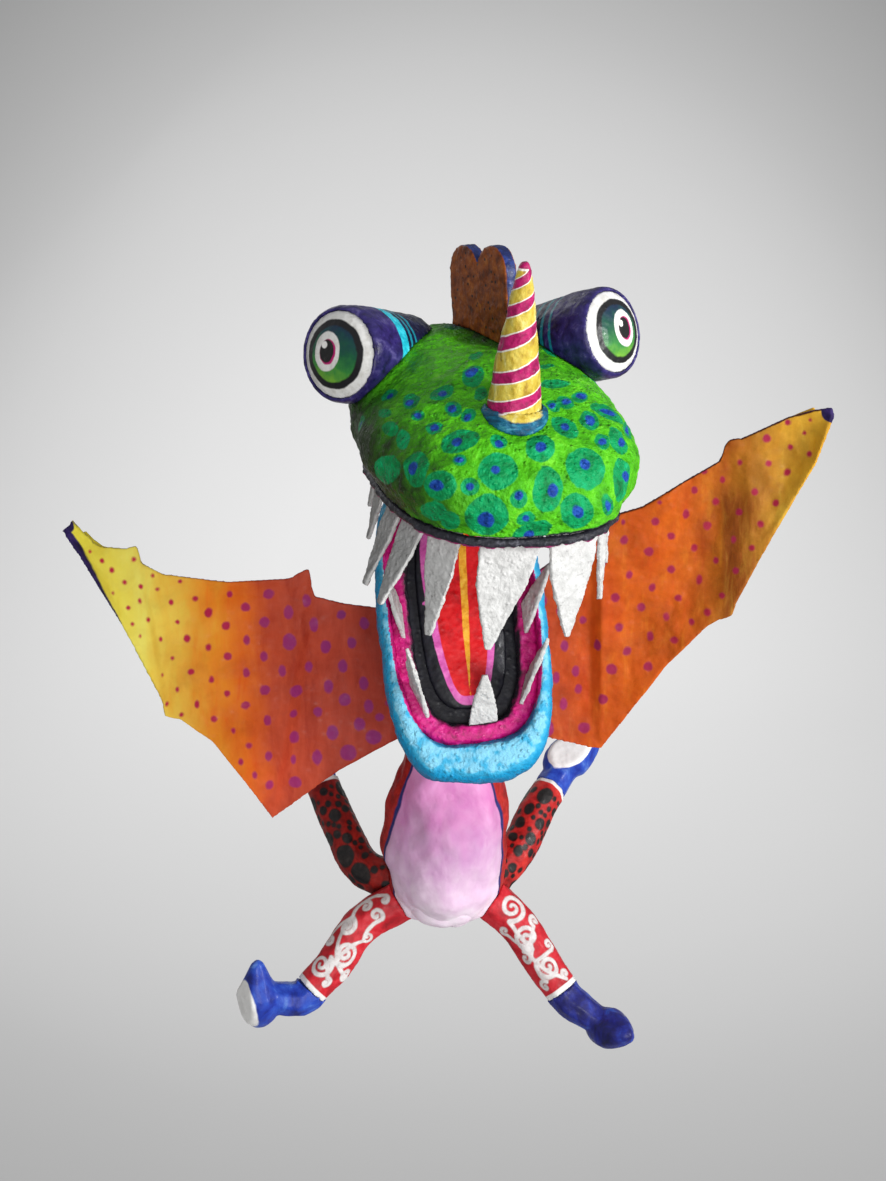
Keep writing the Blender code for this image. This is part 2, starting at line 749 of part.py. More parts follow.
def build_limb(name, limb, figure, trims, shell, core):
    path = limb["path"]
    cuff = Vector(path[-1])
    run = (cuff - Vector(path[-2])).normalized()
    tube_piece = tube(name, path, limb["radii"], figure, red)
    for trim in trims:
        cut(tube_piece, trim)
    grown = [radius + GLUE_GAP for radius in limb["radii"]]
    outside = tube(name + "_outside", path, grown, figure, stretch=GLUE_GAP)
    foot_at = Vector(limb["foot"])
    ankle_path = (cuff - run * ANKLE_SUNK, cuff + run * ANKLE_LENGTH, foot_at)
    ankle_radius = limb["radii"][-1] - GLUE_GAP
    part_name = name.split("_")[0] + "_boot_" + name.split("_")[1]
    ankle_radii = (ankle_radius, ankle_radius, ankle_radius * ANKLE_TAPER)
    boot = tube(part_name, ankle_path, ankle_radii, figure, cobalt)
    bm = bmesh.new()
    bmesh.ops.create_uvsphere(bm, u_segments=FOOT_SIDES, v_segments=FOOT_SIDES // 2, radius=1)
    bmesh.ops.scale(bm, vec=mm(FOOT_HALF_LENGTH, FOOT_HALF_WIDTH, FOOT_HALF_HEIGHT), verts=bm.verts)
    for vert in bm.verts:
        narrow = 1 - TOE_TAPER * max(0, vert.co.x) / (FOOT_HALF_LENGTH * MM)
        vert.co.y *= narrow
        vert.co.z *= narrow if vert.co.z < 0 else 1
    bmesh.ops.bisect_plane(
        bm, geom=bm.verts[:] + bm.edges[:] + bm.faces[:], plane_co=mm(0, 0, SOLE_DEPTH),
        plane_no=(0, 0, 1), clear_outer=True,
    )
    bmesh.ops.holes_fill(bm, edges=bm.edges)
    bmesh.ops.transform(bm, matrix=facing(limb["sole"], limb["toe"], foot_at), verts=bm.verts)
    foot = place(finish_mesh(part_name + "_foot", bm), part_name + "_foot", figure)
    join = boot.modifiers.new("foot", "BOOLEAN")
    join.operation = "UNION"
    join.object = foot
    cut(boot, outside)
    side = -1 if name.endswith("left") else 1
    start = Vector(WIRE_IN_BODY) + Vector((side * WIRE_SPREAD, path[0][1], 0))
    wire_path = (start, Vector(path[0]), *[Vector(knot) for knot in path[1:]], cuff + run * WIRE_PAST_CUFF)
    wire_name = name.split("_")[0] + "_wire_" + name.split("_")[1]
    tube(wire_name, wire_path, [LIMB_WIRE_RADIUS] * len(wire_path), figure, steel_wire, WIRE_SIDES)
    wide = [LIMB_WIRE_RADIUS + GLUE_GAP] * len(wire_path)
    bore = tube(wire_name + "_bore", wire_path, wide, figure, None, WIRE_SIDES, stretch=GLUE_GAP)
    for piece in (tube_piece, boot, shell, core):
        cut(piece, bore)
    return outside


def wing_point(wing, station, share):
    """A point of the wing's middle surface: station counts along the edges, share runs lead to trail."""
    index = min(int(station), len(wing["lead"]) - 2)
    part = station - index
    lead = Vector(wing["lead"][index]).lerp(Vector(wing["lead"][index + 1]), part)
    trail = Vector(wing["trail"][index]).lerp(Vector(wing["trail"][index + 1]), part)
    x, z = lead.lerp(trail, share)
    out = max(0, wing["side"] * x - WING_ROOT_X)
    panels = (0, INNER_RIB, OUTER_RIB, len(wing["lead"]) - 1)
    for start, end in zip(panels, panels[1:]):
        if start <= station <= end:
            sag = WING_SAG * math.sin(math.pi * (station - start) / (end - start))
    y = WING_ROOT_Y - wing["sweep"] * (out / WING_REACH) ** 2 + sag * math.sin(math.pi * share)
    return Vector((x, y, z))


def behind_wing(wing, station, share, radius):
    """A point just behind the wing, where a rod of this radius lies against it."""
    along = wing_point(wing, station + NUDGE, share) - wing_point(wing, station - NUDGE, share)
    across = wing_point(wing, station, share + NUDGE) - wing_point(wing, station, share - NUDGE)
    normal = along.cross(across).normalized()
    if normal.y < 0:
        normal = -normal
    return wing_point(wing, station, share) + normal * (WING_CARD / 2 + RIB_ROOM + radius)


def build_wing(side, wing, figure, shell, core):
    sign = wing["side"]
    stations = len(wing["lead"]) - 1
    axis = Vector((sign * PEG_AXIS[0], PEG_AXIS[1], PEG_AXIS[2])).normalized()
    seat = Vector(SOCKET_AT) + Vector((sign * SOCKET_SPREAD, 0, 0))
    wing_frame = add_frame("wing_frame_" + side, figure, Matrix.Translation(mm(*seat)))
    local = Matrix.Translation(-mm(*seat))
    bm = bmesh.new()
    bmesh.ops.create_grid(bm, x_segments=stations, y_segments=WING_ROWS, size=0.5)
    for vert in bm.verts:
        station = (vert.co.x + 0.5) * stations
        vert.co = local @ (wing_point(wing, station, vert.co.y + 0.5) * MM)
    skin = place(finish_mesh("wing_membrane_" + side, bm), "wing_membrane_" + side, wing_frame, orange)
    wall = skin.modifiers.new("card", "SOLIDIFY")
    wall.thickness = WING_CARD * MM
    wall.offset = 0
    mouth = seat + axis * SOCKET_LENGTH
    foot = seat + axis * (SOCKET_FLOOR + GLUE_GAP)
    knots = [foot, mouth, mouth + axis * PEG_NECK / 2, mouth + axis * PEG_NECK]
    widths = [PEG_RADIUS] * len(knots)
    for station in range(1, stations):
        knots.append(behind_wing(wing, station, SPAR_SHARE, SPAR_RADIUS))
        widths.append(SPAR_RADIUS)
    spar_knots = [knot - seat for knot in knots]
    tube("wing_spar_" + side, spar_knots, widths, wing_frame, bamboo, 1, 2)
    for label, station in (("inner", INNER_RIB), ("outer", OUTER_RIB)):
        rib = [behind_wing(wing, station, share, RIB_RADIUS) - seat for share in RIB_SHARES]
        tube("wing_rib_" + label + "_" + side, rib, [RIB_RADIUS] * len(rib), wing_frame, bamboo, 1, 2)
    holder = add_frame("socket_frame_" + side, figure, facing(axis, (0, 0, 1), seat))
    bore = PEG_RADIUS + PEG_CLEARANCE
    outer = bore + SOCKET_WALL
    turned(
        "wing_socket_" + side,
        ((bore, SOCKET_LENGTH), (outer, SOCKET_LENGTH), (outer, 0), (0, 0), (0, SOCKET_FLOOR),
         (bore, SOCKET_FLOOR)),
        holder, cardboard, SOCKET_SIDES,
    )
    wide = outer + GLUE_GAP
    far = SOCKET_LENGTH + SOCKET_RUNOUT
    profile = ((0, far), (wide, far), (wide, -GLUE_GAP), (0, -GLUE_GAP))
    hole = turned("socket_hole_" + side, profile, holder, None, SOCKET_SIDES)
    cut(shell, hole)
    cut(core, hole)


def build_loop(head, shell, core):
    """A wire eye: a shank through the shell, then a turn that stops short of the shank."""
    spot = add_frame("loop_frame", head, Matrix.Translation(mm(*LOOP_AT, head_top(*LOOP_AT))))
    path = [mm(0, 0, -LOOP_SHANK), mm(0, 0, -LOOP_SHANK / 2)]
    centre = LOOP_RADIUS + LOOP_RISE
    for step in range(LOOP_STEPS + 1):
        turn = math.radians(LOOP_TURN) * step / LOOP_STEPS
        path.append(mm(0, LOOP_RADIUS * math.sin(turn), centre - LOOP_RADIUS * math.cos(turn)))
    place(curve_mesh("hanging_loop", path, [LOOP_WIRE] * len(path), 1), "hanging_loop", spot, steel_wire)
    wide = LOOP_WIRE + GLUE_GAP
    foot = -LOOP_SHANK - GLUE_GAP
    profile = ((0, centre), (wide, centre), (wide, foot), (0, foot))
    bore = turned("loop_bore", profile, spot, None, LOOP_STEPS // 2)
    cut(shell, bore)
    cut(core, bore)
    return spot.matrix_world @ mm(0, 0, centre + LOOP_RADIUS - LOOP_WIRE)


clear_scene()
parts = new_collection("alebrije_figure")
cutters = new_collection("cutters")
green = paint("green_pulp", (0.11, 0.42, 0.02))
charcoal = paint("charcoal_pulp", (0.02, 0.02, 0.025))
magenta = paint("magenta_paint", (0.60, 0.01, 0.19))
yellow = paint("yellow_paint", (0.83, 0.58, 0.08))
teal = paint("teal_paint", (0.01, 0.13, 0.28))
orange = paint("orange_paint", (0.78, 0.22, 0.03))
indigo = paint("indigo_paint", (0.03, 0.02, 0.16), 0.35)
white = paint("white_paint", (0.85, 0.85, 0.84), 0.4)
bone = paint("white_card", (0.80, 0.80, 0.79), 0.7)
cyan = paint("cyan_paint", (0.05, 0.45, 0.70))
black = paint("black_paint", (0.01, 0.01, 0.015))
red = paint("red_paint", (0.55, 0.03, 0.03))
crimson = paint("crimson_paint", (0.52, 0.03, 0.03))
cobalt = paint("cobalt_paint", (0.02, 0.04, 0.45))
newsprint = paint("newsprint", (0.50, 0.48, 0.44), 0.9)
cardboard = paint("cardboard", (0.40, 0.28, 0.17), 0.9)
bamboo = paint("bamboo", (0.45, 0.30, 0.12), 0.6)
steel_wire = paint("steel_wire", (0.55, 0.55, 0.56), 0.35)

figure = add_frame("figure", None, Matrix.Identity(4))
head_turn = turn_about("Z", HEAD_YAW) @ turn_about("X", HEAD_PITCH)
head = add_frame("head", figure, Matrix.Translation(mm(*HEAD_AT)) @ head_turn)
jaw_turn = turn_about("Z", JAW_YAW) @ turn_about("Y", JAW_ROLL) @ turn_about("X", JAW_PITCH)
jaw = add_frame("jaw", figure, Matrix.Translation(mm(*JAW_AT)) @ jaw_turn)

head_shell, head_core, palate = build_head(head)
head_outside = head_cutter(head)
build_upper_teeth(head)
build_horn(head, head_outside)
build_crest(head, head_outside)
build_eyes(head, head_outside)

roof_rings = [
    ring(
        ROOF_SPREAD * HEAD_HALF_WIDTH, -ROOF_SPREAD * HEAD_FRONT, ROOF_SPREAD * HEAD_BACK, z,
        HEAD_SQUARENESS, HEAD_SIDES // 2,
    )
    for z in (-GLUE_GAP, HEAD_HEIGHT)
]
mouth_roof = loft("mouth_roof", roof_rings, head)
gum_cutter = build_jaw(jaw, mouth_roof)
build_lower_teeth(jaw, gum_cutter)

jaw_cutter = jaw_outside("jaw_outside", jaw, None, GLUE_GAP)
torso_cutter = loft("torso_outside", torso_rings(GLUE_GAP), figure)
torso_shell, torso_core, neck = build_body(figure, mouth_roof, jaw_cutter, torso_cutter)
build_spine(figure, (torso_core, neck, palate, head_core))
limb_trims = {"left": [torso_cutter], "right": [torso_cutter]}
for limb_name, limb in LIMBS.items():
    limb_side = limb_name.split("_")[1]
    limb_outside = build_limb(limb_name, limb, figure, limb_trims[limb_side], torso_shell, torso_core)
    limb_trims[limb_side] = limb_trims[limb_side] + [limb_outside]
for wing_side, wing in WINGS.items():
    build_wing(wing_side, wing, figure, torso_shell, torso_core)

# The figure hangs by the top of the loop, which is the part's origin
hang_point = build_loop(head, head_shell, head_core)
figure.location = -hang_point
bpy.context.view_layer.update()
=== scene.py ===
import math
import random

import bmesh
import bpy
import numpy as np
from mathutils import Matrix, Vector
from mathutils.bvhtree import BVHTree
from mathutils.kdtree import KDTree


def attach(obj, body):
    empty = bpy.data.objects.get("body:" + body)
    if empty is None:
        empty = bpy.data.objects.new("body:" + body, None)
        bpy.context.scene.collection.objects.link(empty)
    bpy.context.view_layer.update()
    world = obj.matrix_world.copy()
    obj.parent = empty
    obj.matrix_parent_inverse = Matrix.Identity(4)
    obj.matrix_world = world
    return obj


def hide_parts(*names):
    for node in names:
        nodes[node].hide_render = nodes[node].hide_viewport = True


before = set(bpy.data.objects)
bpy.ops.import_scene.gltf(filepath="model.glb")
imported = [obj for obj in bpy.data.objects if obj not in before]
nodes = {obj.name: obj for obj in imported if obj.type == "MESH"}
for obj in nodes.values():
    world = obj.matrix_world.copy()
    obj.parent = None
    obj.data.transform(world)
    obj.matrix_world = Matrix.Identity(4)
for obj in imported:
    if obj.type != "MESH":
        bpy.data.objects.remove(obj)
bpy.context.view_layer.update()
scene = bpy.context.scene
scene.view_settings.view_transform = "Standard"
mm = 0.001
hang = Vector((25.8689, -32.2388, 173.9725))  # inside top of the loop, in the maker's millimetres


def place(x, y, z):
    return (Vector((x, y, z)) - hang) * mm


def frameAt(at, *turns):
    matrix = Matrix.Translation(place(*at))
    for axis, angle in turns:
        matrix = matrix @ Matrix.Rotation(math.radians(angle), 4, axis)
    return matrix


headFrame = frameAt((25, -80, 84), ("Z", 16), ("X", 11))
jawFrame = frameAt((6, -48, 42), ("Z", 7), ("Y", -4), ("X", 67))

# camera: a little above the figure, straight in front of it
cameraSet = {"at": (0, -869.3, 232.9), "tilt": 75, "lens": 45.724}
eye = bpy.data.objects.new("camera", bpy.data.cameras.new("camera"))
eye.location = place(*cameraSet["at"])
eye.rotation_euler = (math.radians(cameraSet["tilt"]), 0, 0)
eye.data.lens = cameraSet["lens"]
scene.collection.objects.link(eye)
scene.camera = eye
paintedFrom = Vector((0, -0.966, 0.259))  # the side the maker had in front of them


def linear(code):
    shades = [int(code[i:i + 2], 16) / 255 for i in (1, 3, 5)]
    return (*[s / 12.92 if s <= 0.04045 else ((s + 0.055) / 1.055) ** 2.4 for s in shades], 1.0)


def add(tree, kind, inputs=None, stops=None, **settings):
    node = tree.nodes.new("ShaderNode" + kind)
    for name, value in settings.items():
        setattr(node, name, value)
    for socket, value in (inputs or {}).items():
        if isinstance(value, bpy.types.NodeSocket):
            tree.links.new(value, node.inputs[socket])
        else:
            node.inputs[socket].default_value = linear(value) if isinstance(value, str) else value
    if stops:
        ramp = node.color_ramp.elements
        ramp.remove(ramp[1])
        ramp[0].position, ramp[0].color = stops[0][0], linear(stops[0][1])
        for position, code in stops[1:]:
            ramp.new(position).color = linear(code)
    return node


def shadesBy(tree, value, stops):
    return add(tree, "ValToRGB", {"Fac": value}, stops).outputs["Color"]


def workedIn(tree, under, over, share, way="SOFT_LIGHT"):
    # a second paint worked into the first while it is wet
    return add(tree, "Mix", {0: share, 6: under, 7: over}, data_type="RGBA", blend_type=way).outputs[2]


def brushed(tree, spot, shades, size, stretch=(1, 1, 1)):
    # strokes of one paint mixed a little darker and lighter on the brush
    turned = add(tree, "Mapping", {"Vector": spot, "Scale": stretch})
    streak = add(tree, "TexNoise", {"Vector": turned.outputs[0], "Scale": 1 / (size * mm), "Detail": 5.0,
                                    "Roughness": 0.62, "Distortion": 0.4})
    steps = [(0.30 + 0.40 * i / (len(shades) - 1), code) for i, code in enumerate(shades)]
    return shadesBy(tree, streak.outputs["Fac"], steps)


def paintOver(tree, under, over, where, edge=0.0, soft=0.25):
    # lays one paint over another wherever the field runs below the edge
    mask = add(tree, "MapRange", {"Value": where, "From Min": edge - soft, "From Max": edge + soft,
                                  "To Min": 1.0, "To Max": 0.0})
    return add(tree, "Mix", {0: mask.outputs[0], 6: under, 7: over}, data_type="RGBA").outputs[2]


def fieldOf(tree, name, spot=None, wobble=0.0, size=6.0):
    # a field painted on the piece, its edge made unsteady by hand
    value = add(tree, "Attribute", attribute_name=name).outputs["Fac"]
    if not wobble:
        return value
    shake = add(tree, "TexNoise", {"Vector": spot, "Scale": 1 / (size * mm), "Detail": 2.0})
    moved = add(tree, "Math", {0: shake.outputs["Fac"], 1: wobble, 2: value}, operation="MULTIPLY_ADD")
    return add(tree, "Math", {0: moved.outputs[0], 1: wobble / 2}, operation="SUBTRACT").outputs[0]


def pulpPaint(name, grain=1.5, rise=0.5, gloss=0.42, coat=0.05, deep=0.6, sheen=0.25):
    # acrylic and a wipe of varnish on pressed pulp: gritty, with small sharp lights on the grit
    material = bpy.data.materials.new(name)
    material.use_nodes = True
    tree = material.node_tree
    shader = tree.nodes["Principled BSDF"]
    shader.inputs["IOR"].default_value = 1.48
    shader.inputs["Specular IOR Level"].default_value = sheen
    shader.inputs["Coat Weight"].default_value = coat
    shader.inputs["Coat Roughness"].default_value = 0.22
    spot = add(tree, "TexCoord").outputs["Object"]
    grit = add(tree, "TexNoise", {"Vector": spot, "Scale": 1 / (2.4 * grain * mm), "Detail": 4.0,
                                  "Roughness": 0.55})
    cells = add(tree, "TexVoronoi", {"Vector": spot, "Scale": 1 / (3.8 * grain * mm)})
    bead = add(tree, "MapRange", {"Value": cells.outputs["Distance"], "From Min": 0.06, "From Max": 0.36,
                                  "To Min": 1.0, "To Max": 0.0}, interpolation_type="SMOOTHSTEP")
    height = add(tree, "Math", {0: bead.outputs[0], 1: 0.45, 2: grit.outputs["Fac"]},
                 operation="MULTIPLY_ADD")
    bump = add(tree, "Bump", {"Strength": rise, "Distance": deep * mm, "Height": height.outputs[0]})
    tree.links.new(bump.outputs["Normal"], shader.inputs["Normal"])
    rough = add(tree, "MapRange", {"Value": height.outputs[0], "From Min": 0.35, "From Max": 0.95,
                                   "To Min": gloss + 0.14, "To Max": gloss - 0.14})
    tree.links.new(rough.outputs[0], shader.inputs["Roughness"])
    return material, tree, shader, spot


def dress(piece, material):
    piece.data.materials.clear()
    piece.data.materials.append(material)


def newPiece(name, bm):
    mesh = bpy.data.meshes.new(name)
    bm.to_mesh(mesh)
    bm.free()
    piece = bpy.data.objects.new(name, mesh)
    scene.collection.objects.link(piece)
    return piece


def settle(piece):
    # bakes the live modifiers into the mesh
    bpy.context.view_layer.update()
    graph = bpy.context.evaluated_depsgraph_get()
    mesh = bpy.data.meshes.new_from_object(piece.evaluated_get(graph))
    piece.modifiers.clear()
    old, piece.data = piece.data, mesh
    bpy.data.meshes.remove(old)


def pointsOf(piece):
    points = np.empty(len(piece.data.vertices) * 3, np.float32)
    piece.data.vertices.foreach_get("co", points)
    return points.reshape(-1, 3).astype(float)


def normalsOf(piece):
    normals = np.empty(len(piece.data.vertices) * 3, np.float32)
    piece.data.vertex_normals.foreach_get("vector", normals)
    return normals.reshape(-1, 3).astype(float)


def makersPlace(points):
    # millimetres in the maker's frame
    return points * 1000 + np.array(hang)


def within(points, matrix):
    # millimetres in a piece's own frame
    return (points - np.array(matrix.translation)) @ np.array(matrix.to_3x3()) * 1000


def outOf(own, matrix):
    return (own * mm) @ np.array(matrix.to_3x3()).T + np.array(matrix.translation)


def press(piece, points):
    # fingers the skin into another shape
    piece.data.vertices.foreach_set("co", np.asarray(points, np.float32).ravel())
    piece.data.update()


def setField(piece, name, values):
    spots = piece.data.attributes.new(name, "FLOAT", "POINT")
    spots.data.foreach_set("value", np.asarray(values, np.float32))


def neighbours(node):
    # everything the piece sits against
    verts, faces = [], []
    for other, thing in nodes.items():
        if other != node:
            start = len(verts)
            verts.extend(v.co for v in thing.data.vertices)
            faces.extend([start + i for i in p.vertices] for p in thing.data.polygons)
    return BVHTree.FromPolygons(verts, faces)


def sharpEdges(bm, angle=50):
    spots = []
    for edge in bm.edges:
        if len(edge.link_faces) == 2 and edge.calc_face_angle(0) > math.radians(angle):
            steps = max(1, int(edge.calc_length() / (0.8 * mm)))
            first, last = (v.co for v in edge.verts)
            spots.extend(first.lerp(last, i / steps) for i in range(steps + 1))
    tree = KDTree(max(1, len(spots)))
    for i, co in enumerate(spots):
        tree.insert(co, i)
    tree.balance()
    return tree if spots else None


def skinOf(node, how, body="figure"):
    # even skin over the CAD piece: faces that touch a neighbour stay put, the rest is eased and lumped
    bm = bmesh.new()
    bm.from_mesh(nodes[node].data)
    bmesh.ops.remove_doubles(bm, verts=bm.verts, dist=0.02 * mm)
    corners = sharpEdges(bm) if how.get("crisp") else None
    piece = newPiece(node + "_skin", bm)
    even = piece.modifiers.new("even", "REMESH")
    even.mode = "VOXEL"
    even.voxel_size = how["voxel"] * mm
    even.use_smooth_shade = True
    settle(piece)
    touching = neighbours(node)
    free = piece.vertex_groups.new(name="free")
    sets = {}
    for vert in piece.data.vertices:
        near = touching.find_nearest(vert.co, 4 * mm)[3]
        give = 1.0 if near is None else min(1.0, max(0.0, (near / mm - 0.8) / 3))
        if corners:
            give *= min(1.0, corners.find(vert.co)[2] / (how["crisp"] * mm))
        sets.setdefault(round(give, 1), []).append(vert.index)
    for give, found in sets.items():
        free.add(found, give, "REPLACE")
    ease = piece.modifiers.new("ease", "SMOOTH")
    ease.factor = 0.5
    ease.iterations = how["ease"]
    ease.vertex_group = "free"
    for label, size, rise in how["lumps"]:
        cloud = bpy.data.textures.new(node + label, "CLOUDS")
        cloud.noise_scale = size * mm
        cloud.noise_depth = 2
        lump = piece.modifiers.new(label, "DISPLACE")
        lump.texture = cloud
        lump.texture_coords = "LOCAL"
        lump.strength = rise * mm
        lump.direction = how.get("along", "NORMAL")
        lump.mid_level = 0.5
        lump.vertex_group = "free"
    settle(piece)
    piece.vertex_groups.clear()
    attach(piece, body)
    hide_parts(node)
    return piece


def surfaceOf(piece):
    mesh = piece.data
    return BVHTree.FromPolygons([v.co for v in mesh.vertices], [p.vertices[:] for p in mesh.polygons])


headSet = {
    "skin": {"voxel": 1.3, "ease": 45, "lumps": (("knead", 34, 7.0), ("wave", 11, 1.2), ("grain", 3.2, 1.4))},
    "middle": (0, 0, 12),
    # round the head, up it, length, width, tilt
    "spots": (
        (-19, 0, 22, 21, 74), (-16, 16, 19, 18, 22), (1, 9, 20, 16, 84), (17, 15, 23, 20, 29),
        (12, 1, 21, 16, -50), (1, 24, 17, 14, 53), (18, 31, 17, 13, 78), (-32, 25, 19, 14, 49),
        (-46, 28, 9, 8, -43), (-25, 10, 9, 8, 6), (-9, 7, 9, 8, -78), (-16, 26, 9, 8, 67),
        (-30, 18, 7, 6, -4), (-6, 0, 9, 8, 6), (-3, -6, 20, 13, 22), (33, 8, 21, 17, 62),
        (24, 1, 13, 7, -54), (41, 20, 17, 12, 35), (31, 22, 12, 8, 10), (35, 31, 15, 10, 13),
        (53, 30, 20, 12, -5), (47, 42, 12, 7, 7), (32, 43, 10, 9, 65), (22, 43, 9, 7, 58),
        (43, 55, 18, 7, 34), (80, 63, 11, 4, 19), (-59, 46, 13, 10, -70), (-43, 39, 11, 8, -50),
        (-33, 37, 9, 7, -76), (-50, 65, 19, 11, 88), (-71, 36, 12, 9, -15), (-59, 31, 8, 6, 0),
        (-46, 12, 18, 15, -35), (-35, 9, 17, 14, 12), (-62, 7, 26, 14, 29), (-37, -1, 17, 11, 35),
        (-31, -3, 14, 9, 59), (60, 19, 24, 8, -4), (-78, 26, 11, 5, 3), (-68, 22, 12, 7, -4),
        (-31, 52, 12, 6, 90), (-58, 20, 12, 8, -21), (-125, 77, 14, 6, 78),
    ),
    "cores": (
        (-19, -1, 9, 8, -89), (-17, 16, 4, 4, 38), (3, 9, 6, 5, -85), (17, 16, 6, 5, 27),
        (12, 1, 7, 5, -51), (1, 24, 6, 5, 52), (18, 31, 6, 4, 44), (-33, 24, 5, 5, 77),
        (-46, 28, 5, 4, -41), (-25, 10, 3.4, 3.4, 42), (-9, 8, 4, 4, -27), (-16, 25, 4, 4, 29),
        (-30, 18, 4, 3, 1), (-6, 0, 4, 3, -57), (-4, -7, 5, 5, -55), (36, 8, 8, 5, -33),
        (24, 1, 7, 3, -54), (42, 19, 7, 4, 9), (31, 22, 6, 3, 0), (35, 31, 8, 5, 17), (53, 30, 9, 4, -6),
        (49, 42, 7, 4, 13), (33, 43, 6, 4, 31), (21, 43, 5, 3, 46), (-58, 46, 6, 4, -45),
        (-44, 39, 5, 4, -30), (-33, 36, 5, 3, -72), (-56, 67, 9, 5, -79), (-71, 35, 5, 4, -10),
        (-59, 31, 4, 3, -18), (-47, 12, 6, 6, 0), (-36, 9, 7, 5, 19), (59, 19, 12, 3, -9),
    ),
    "fillers": 900, "fillerGap": 2.5, "fillerCore": (0.34, 0.27),
    # round the head, height of the dark edge
    "brim": ((-180, 1.0), (-40, 0.6), (0, 1.2), (25, 3.0), (60, 2.5), (100, 0.8), (180, 1.0)),
    "shade": (-47, 24, 0.7),  # where the painted shade on the left cheek ends, above what height it draws back, and how fast
    "outside": 0.25,  # metres from the middle of the head, well clear of it
}


def spotFields(piece, settings):
    # each spot is a squeezed circle on the skin; the hidden sides are filled with more of them
    surface = surfaceOf(piece)
    middle = headFrame @ (Vector(settings["middle"]) * mm)
    turn = headFrame.to_3x3()
    points = pointsOf(piece)
    outer = np.full(len(points), 30.0)
    inner = np.full(len(points), 30.0)
    placed = []

    def skinAt(around, up):
        lon, lat = math.radians(around), math.radians(up)
        way = turn @ Vector((math.sin(lon) * math.cos(lat), -math.cos(lon) * math.cos(lat), math.sin(lat)))
        return surface.ray_cast(middle + way * settings["outside"], -way)[:2]

    def stamp(field, around, up, length, width, tilt):
        centre, normal = skinAt(around, up)
        if centre is None:
            return
        east = (turn @ Vector((0, 0, 1))).cross(normal).normalized()
        north = normal.cross(east)
        along = east * math.cos(math.radians(tilt)) + north * math.sin(math.radians(tilt))
        across = normal.cross(along)
        away = (points - np.array(centre)) * 1000
        lengthways, sideways = away @ np.array(along) * 2 / length, away @ np.array(across) * 2 / width
        near = np.sqrt(lengthways ** 2 + sideways ** 2)
        depth = np.abs(away @ np.array(normal))
        through = np.maximum(0, depth - 12)  # keeps it off the far side of the shell
        np.minimum(field, (near - 1) * width / 2 + through, out=field)

    for row in settings["spots"]:
        stamp(outer, *row)
    for row in settings["cores"]:
        stamp(inner, *row)
    dice = random.Random(4)
    for _ in range(settings["fillers"]):
        around, up = dice.uniform(-180, 180), math.degrees(math.asin(dice.uniform(-0.1, 0.99)))
        size = dice.uniform(9, 20) * (1.1 - 0.5 * max(0, up) / 90)
        centre, normal = skinAt(around, up)
        if centre is None or normal.dot(paintedFrom) > 0.12:
            continue
        room = settings["fillerGap"] * mm
        if any((centre - other).length < (size + otherSize) / 2 * mm + room for other, otherSize in placed):
            continue
        nearest = np.argmin(((points - np.array(centre)) ** 2).sum(1))
        if outer[nearest] < size / 2 + 2:
            continue
        placed.append((centre, size))
        tilt = dice.uniform(-60, 60)
        stamp(outer, around, up, size, size * dice.uniform(0.65, 0.95), tilt)
        coreLong, coreWide = settings["fillerCore"]
        stamp(inner, around, up, size * coreLong, size * coreWide, tilt)
    setField(piece, "spots", outer)
    setField(piece, "cores", inner)
    own = within(points, headFrame)
    around = np.degrees(np.arctan2(own[:, 0], -own[:, 1]))
    setField(piece, "brim", own[:, 2] - np.interp(around, *zip(*settings["brim"])))
    ends, above, draw = settings["shade"]
    setField(piece, "shade", own[:, 0] - ends + draw * np.maximum(0, own[:, 2] - above))
    # distance from the crest, for dark brushwork at its foot spread into painted shade
    comb = surfaceOf(nodes["crest"])
    setField(piece, "creep", [comb.find_nearest(co)[3] / mm for co in points])


def headPaint():
    # lime acrylic over pulp, teal spots dabbed wet, a blue drop in each
    material, tree, shader, spot = pulpPaint("green_pulp_paint", grain=1.0, rise=1.0, coat=0.0, deep=1.5,
                                             sheen=0.2)
    ground = brushed(tree, spot, ("#2c7c0a", "#48ae10", "#58c418", "#72d62a"), 8)
    teal = brushed(tree, spot, ("#00602e", "#008848", "#009e5a", "#0cb070"), 7)
    blue = brushed(tree, spot, ("#0a3276", "#1444a4", "#2a64c0"), 4)
    spots = fieldOf(tree, "spots", spot, 1.6, 5)
    cores = fieldOf(tree, "cores", spot, 1.3, 4)
    # painted shade: a dark green wash over the left cheek, laid under the spots
    wash = brushed(tree, spot, ("#12200a", "#1e340c", "#2c4c10"), 7)
    colour = paintOver(tree, ground, wash, fieldOf(tree, "shade", spot, 34, 9), 0.0, 17)
    colour = paintOver(tree, colour, teal, spots, 0.1, 0.28)
    colour = paintOver(tree, colour, blue, cores, 0.2, 0.4)
    # dark green brushwork at the crest's foot, widened into painted shade that deepens towards the crest
    colour = paintOver(tree, colour, "#0e2808", fieldOf(tree, "creep", spot, 18, 6), 9.0, 9.0)
    edge = brushed(tree, spot, ("#131318", "#22222a", "#363640"), 3)
    colour = paintOver(tree, colour, edge, fieldOf(tree, "brim", spot, 2.4, 5), 0.0, 0.4)
    tree.links.new(colour, shader.inputs["Base Color"])
    return material


head = skinOf("head_shell", headSet["skin"])
spotFields(head, headSet)
dress(head, headPaint())
print("head skinned and spotted:", len(head.data.polygons), "faces")

lipSet = {
    "skin": {"voxel": 0.8, "ease": 8, "lumps": (("knead", 14, 3.0), ("wave", 5, 2.2), ("grain", 2.2, 1.0))},
    "under": -4.5,  # below this height the bead is magenta
}


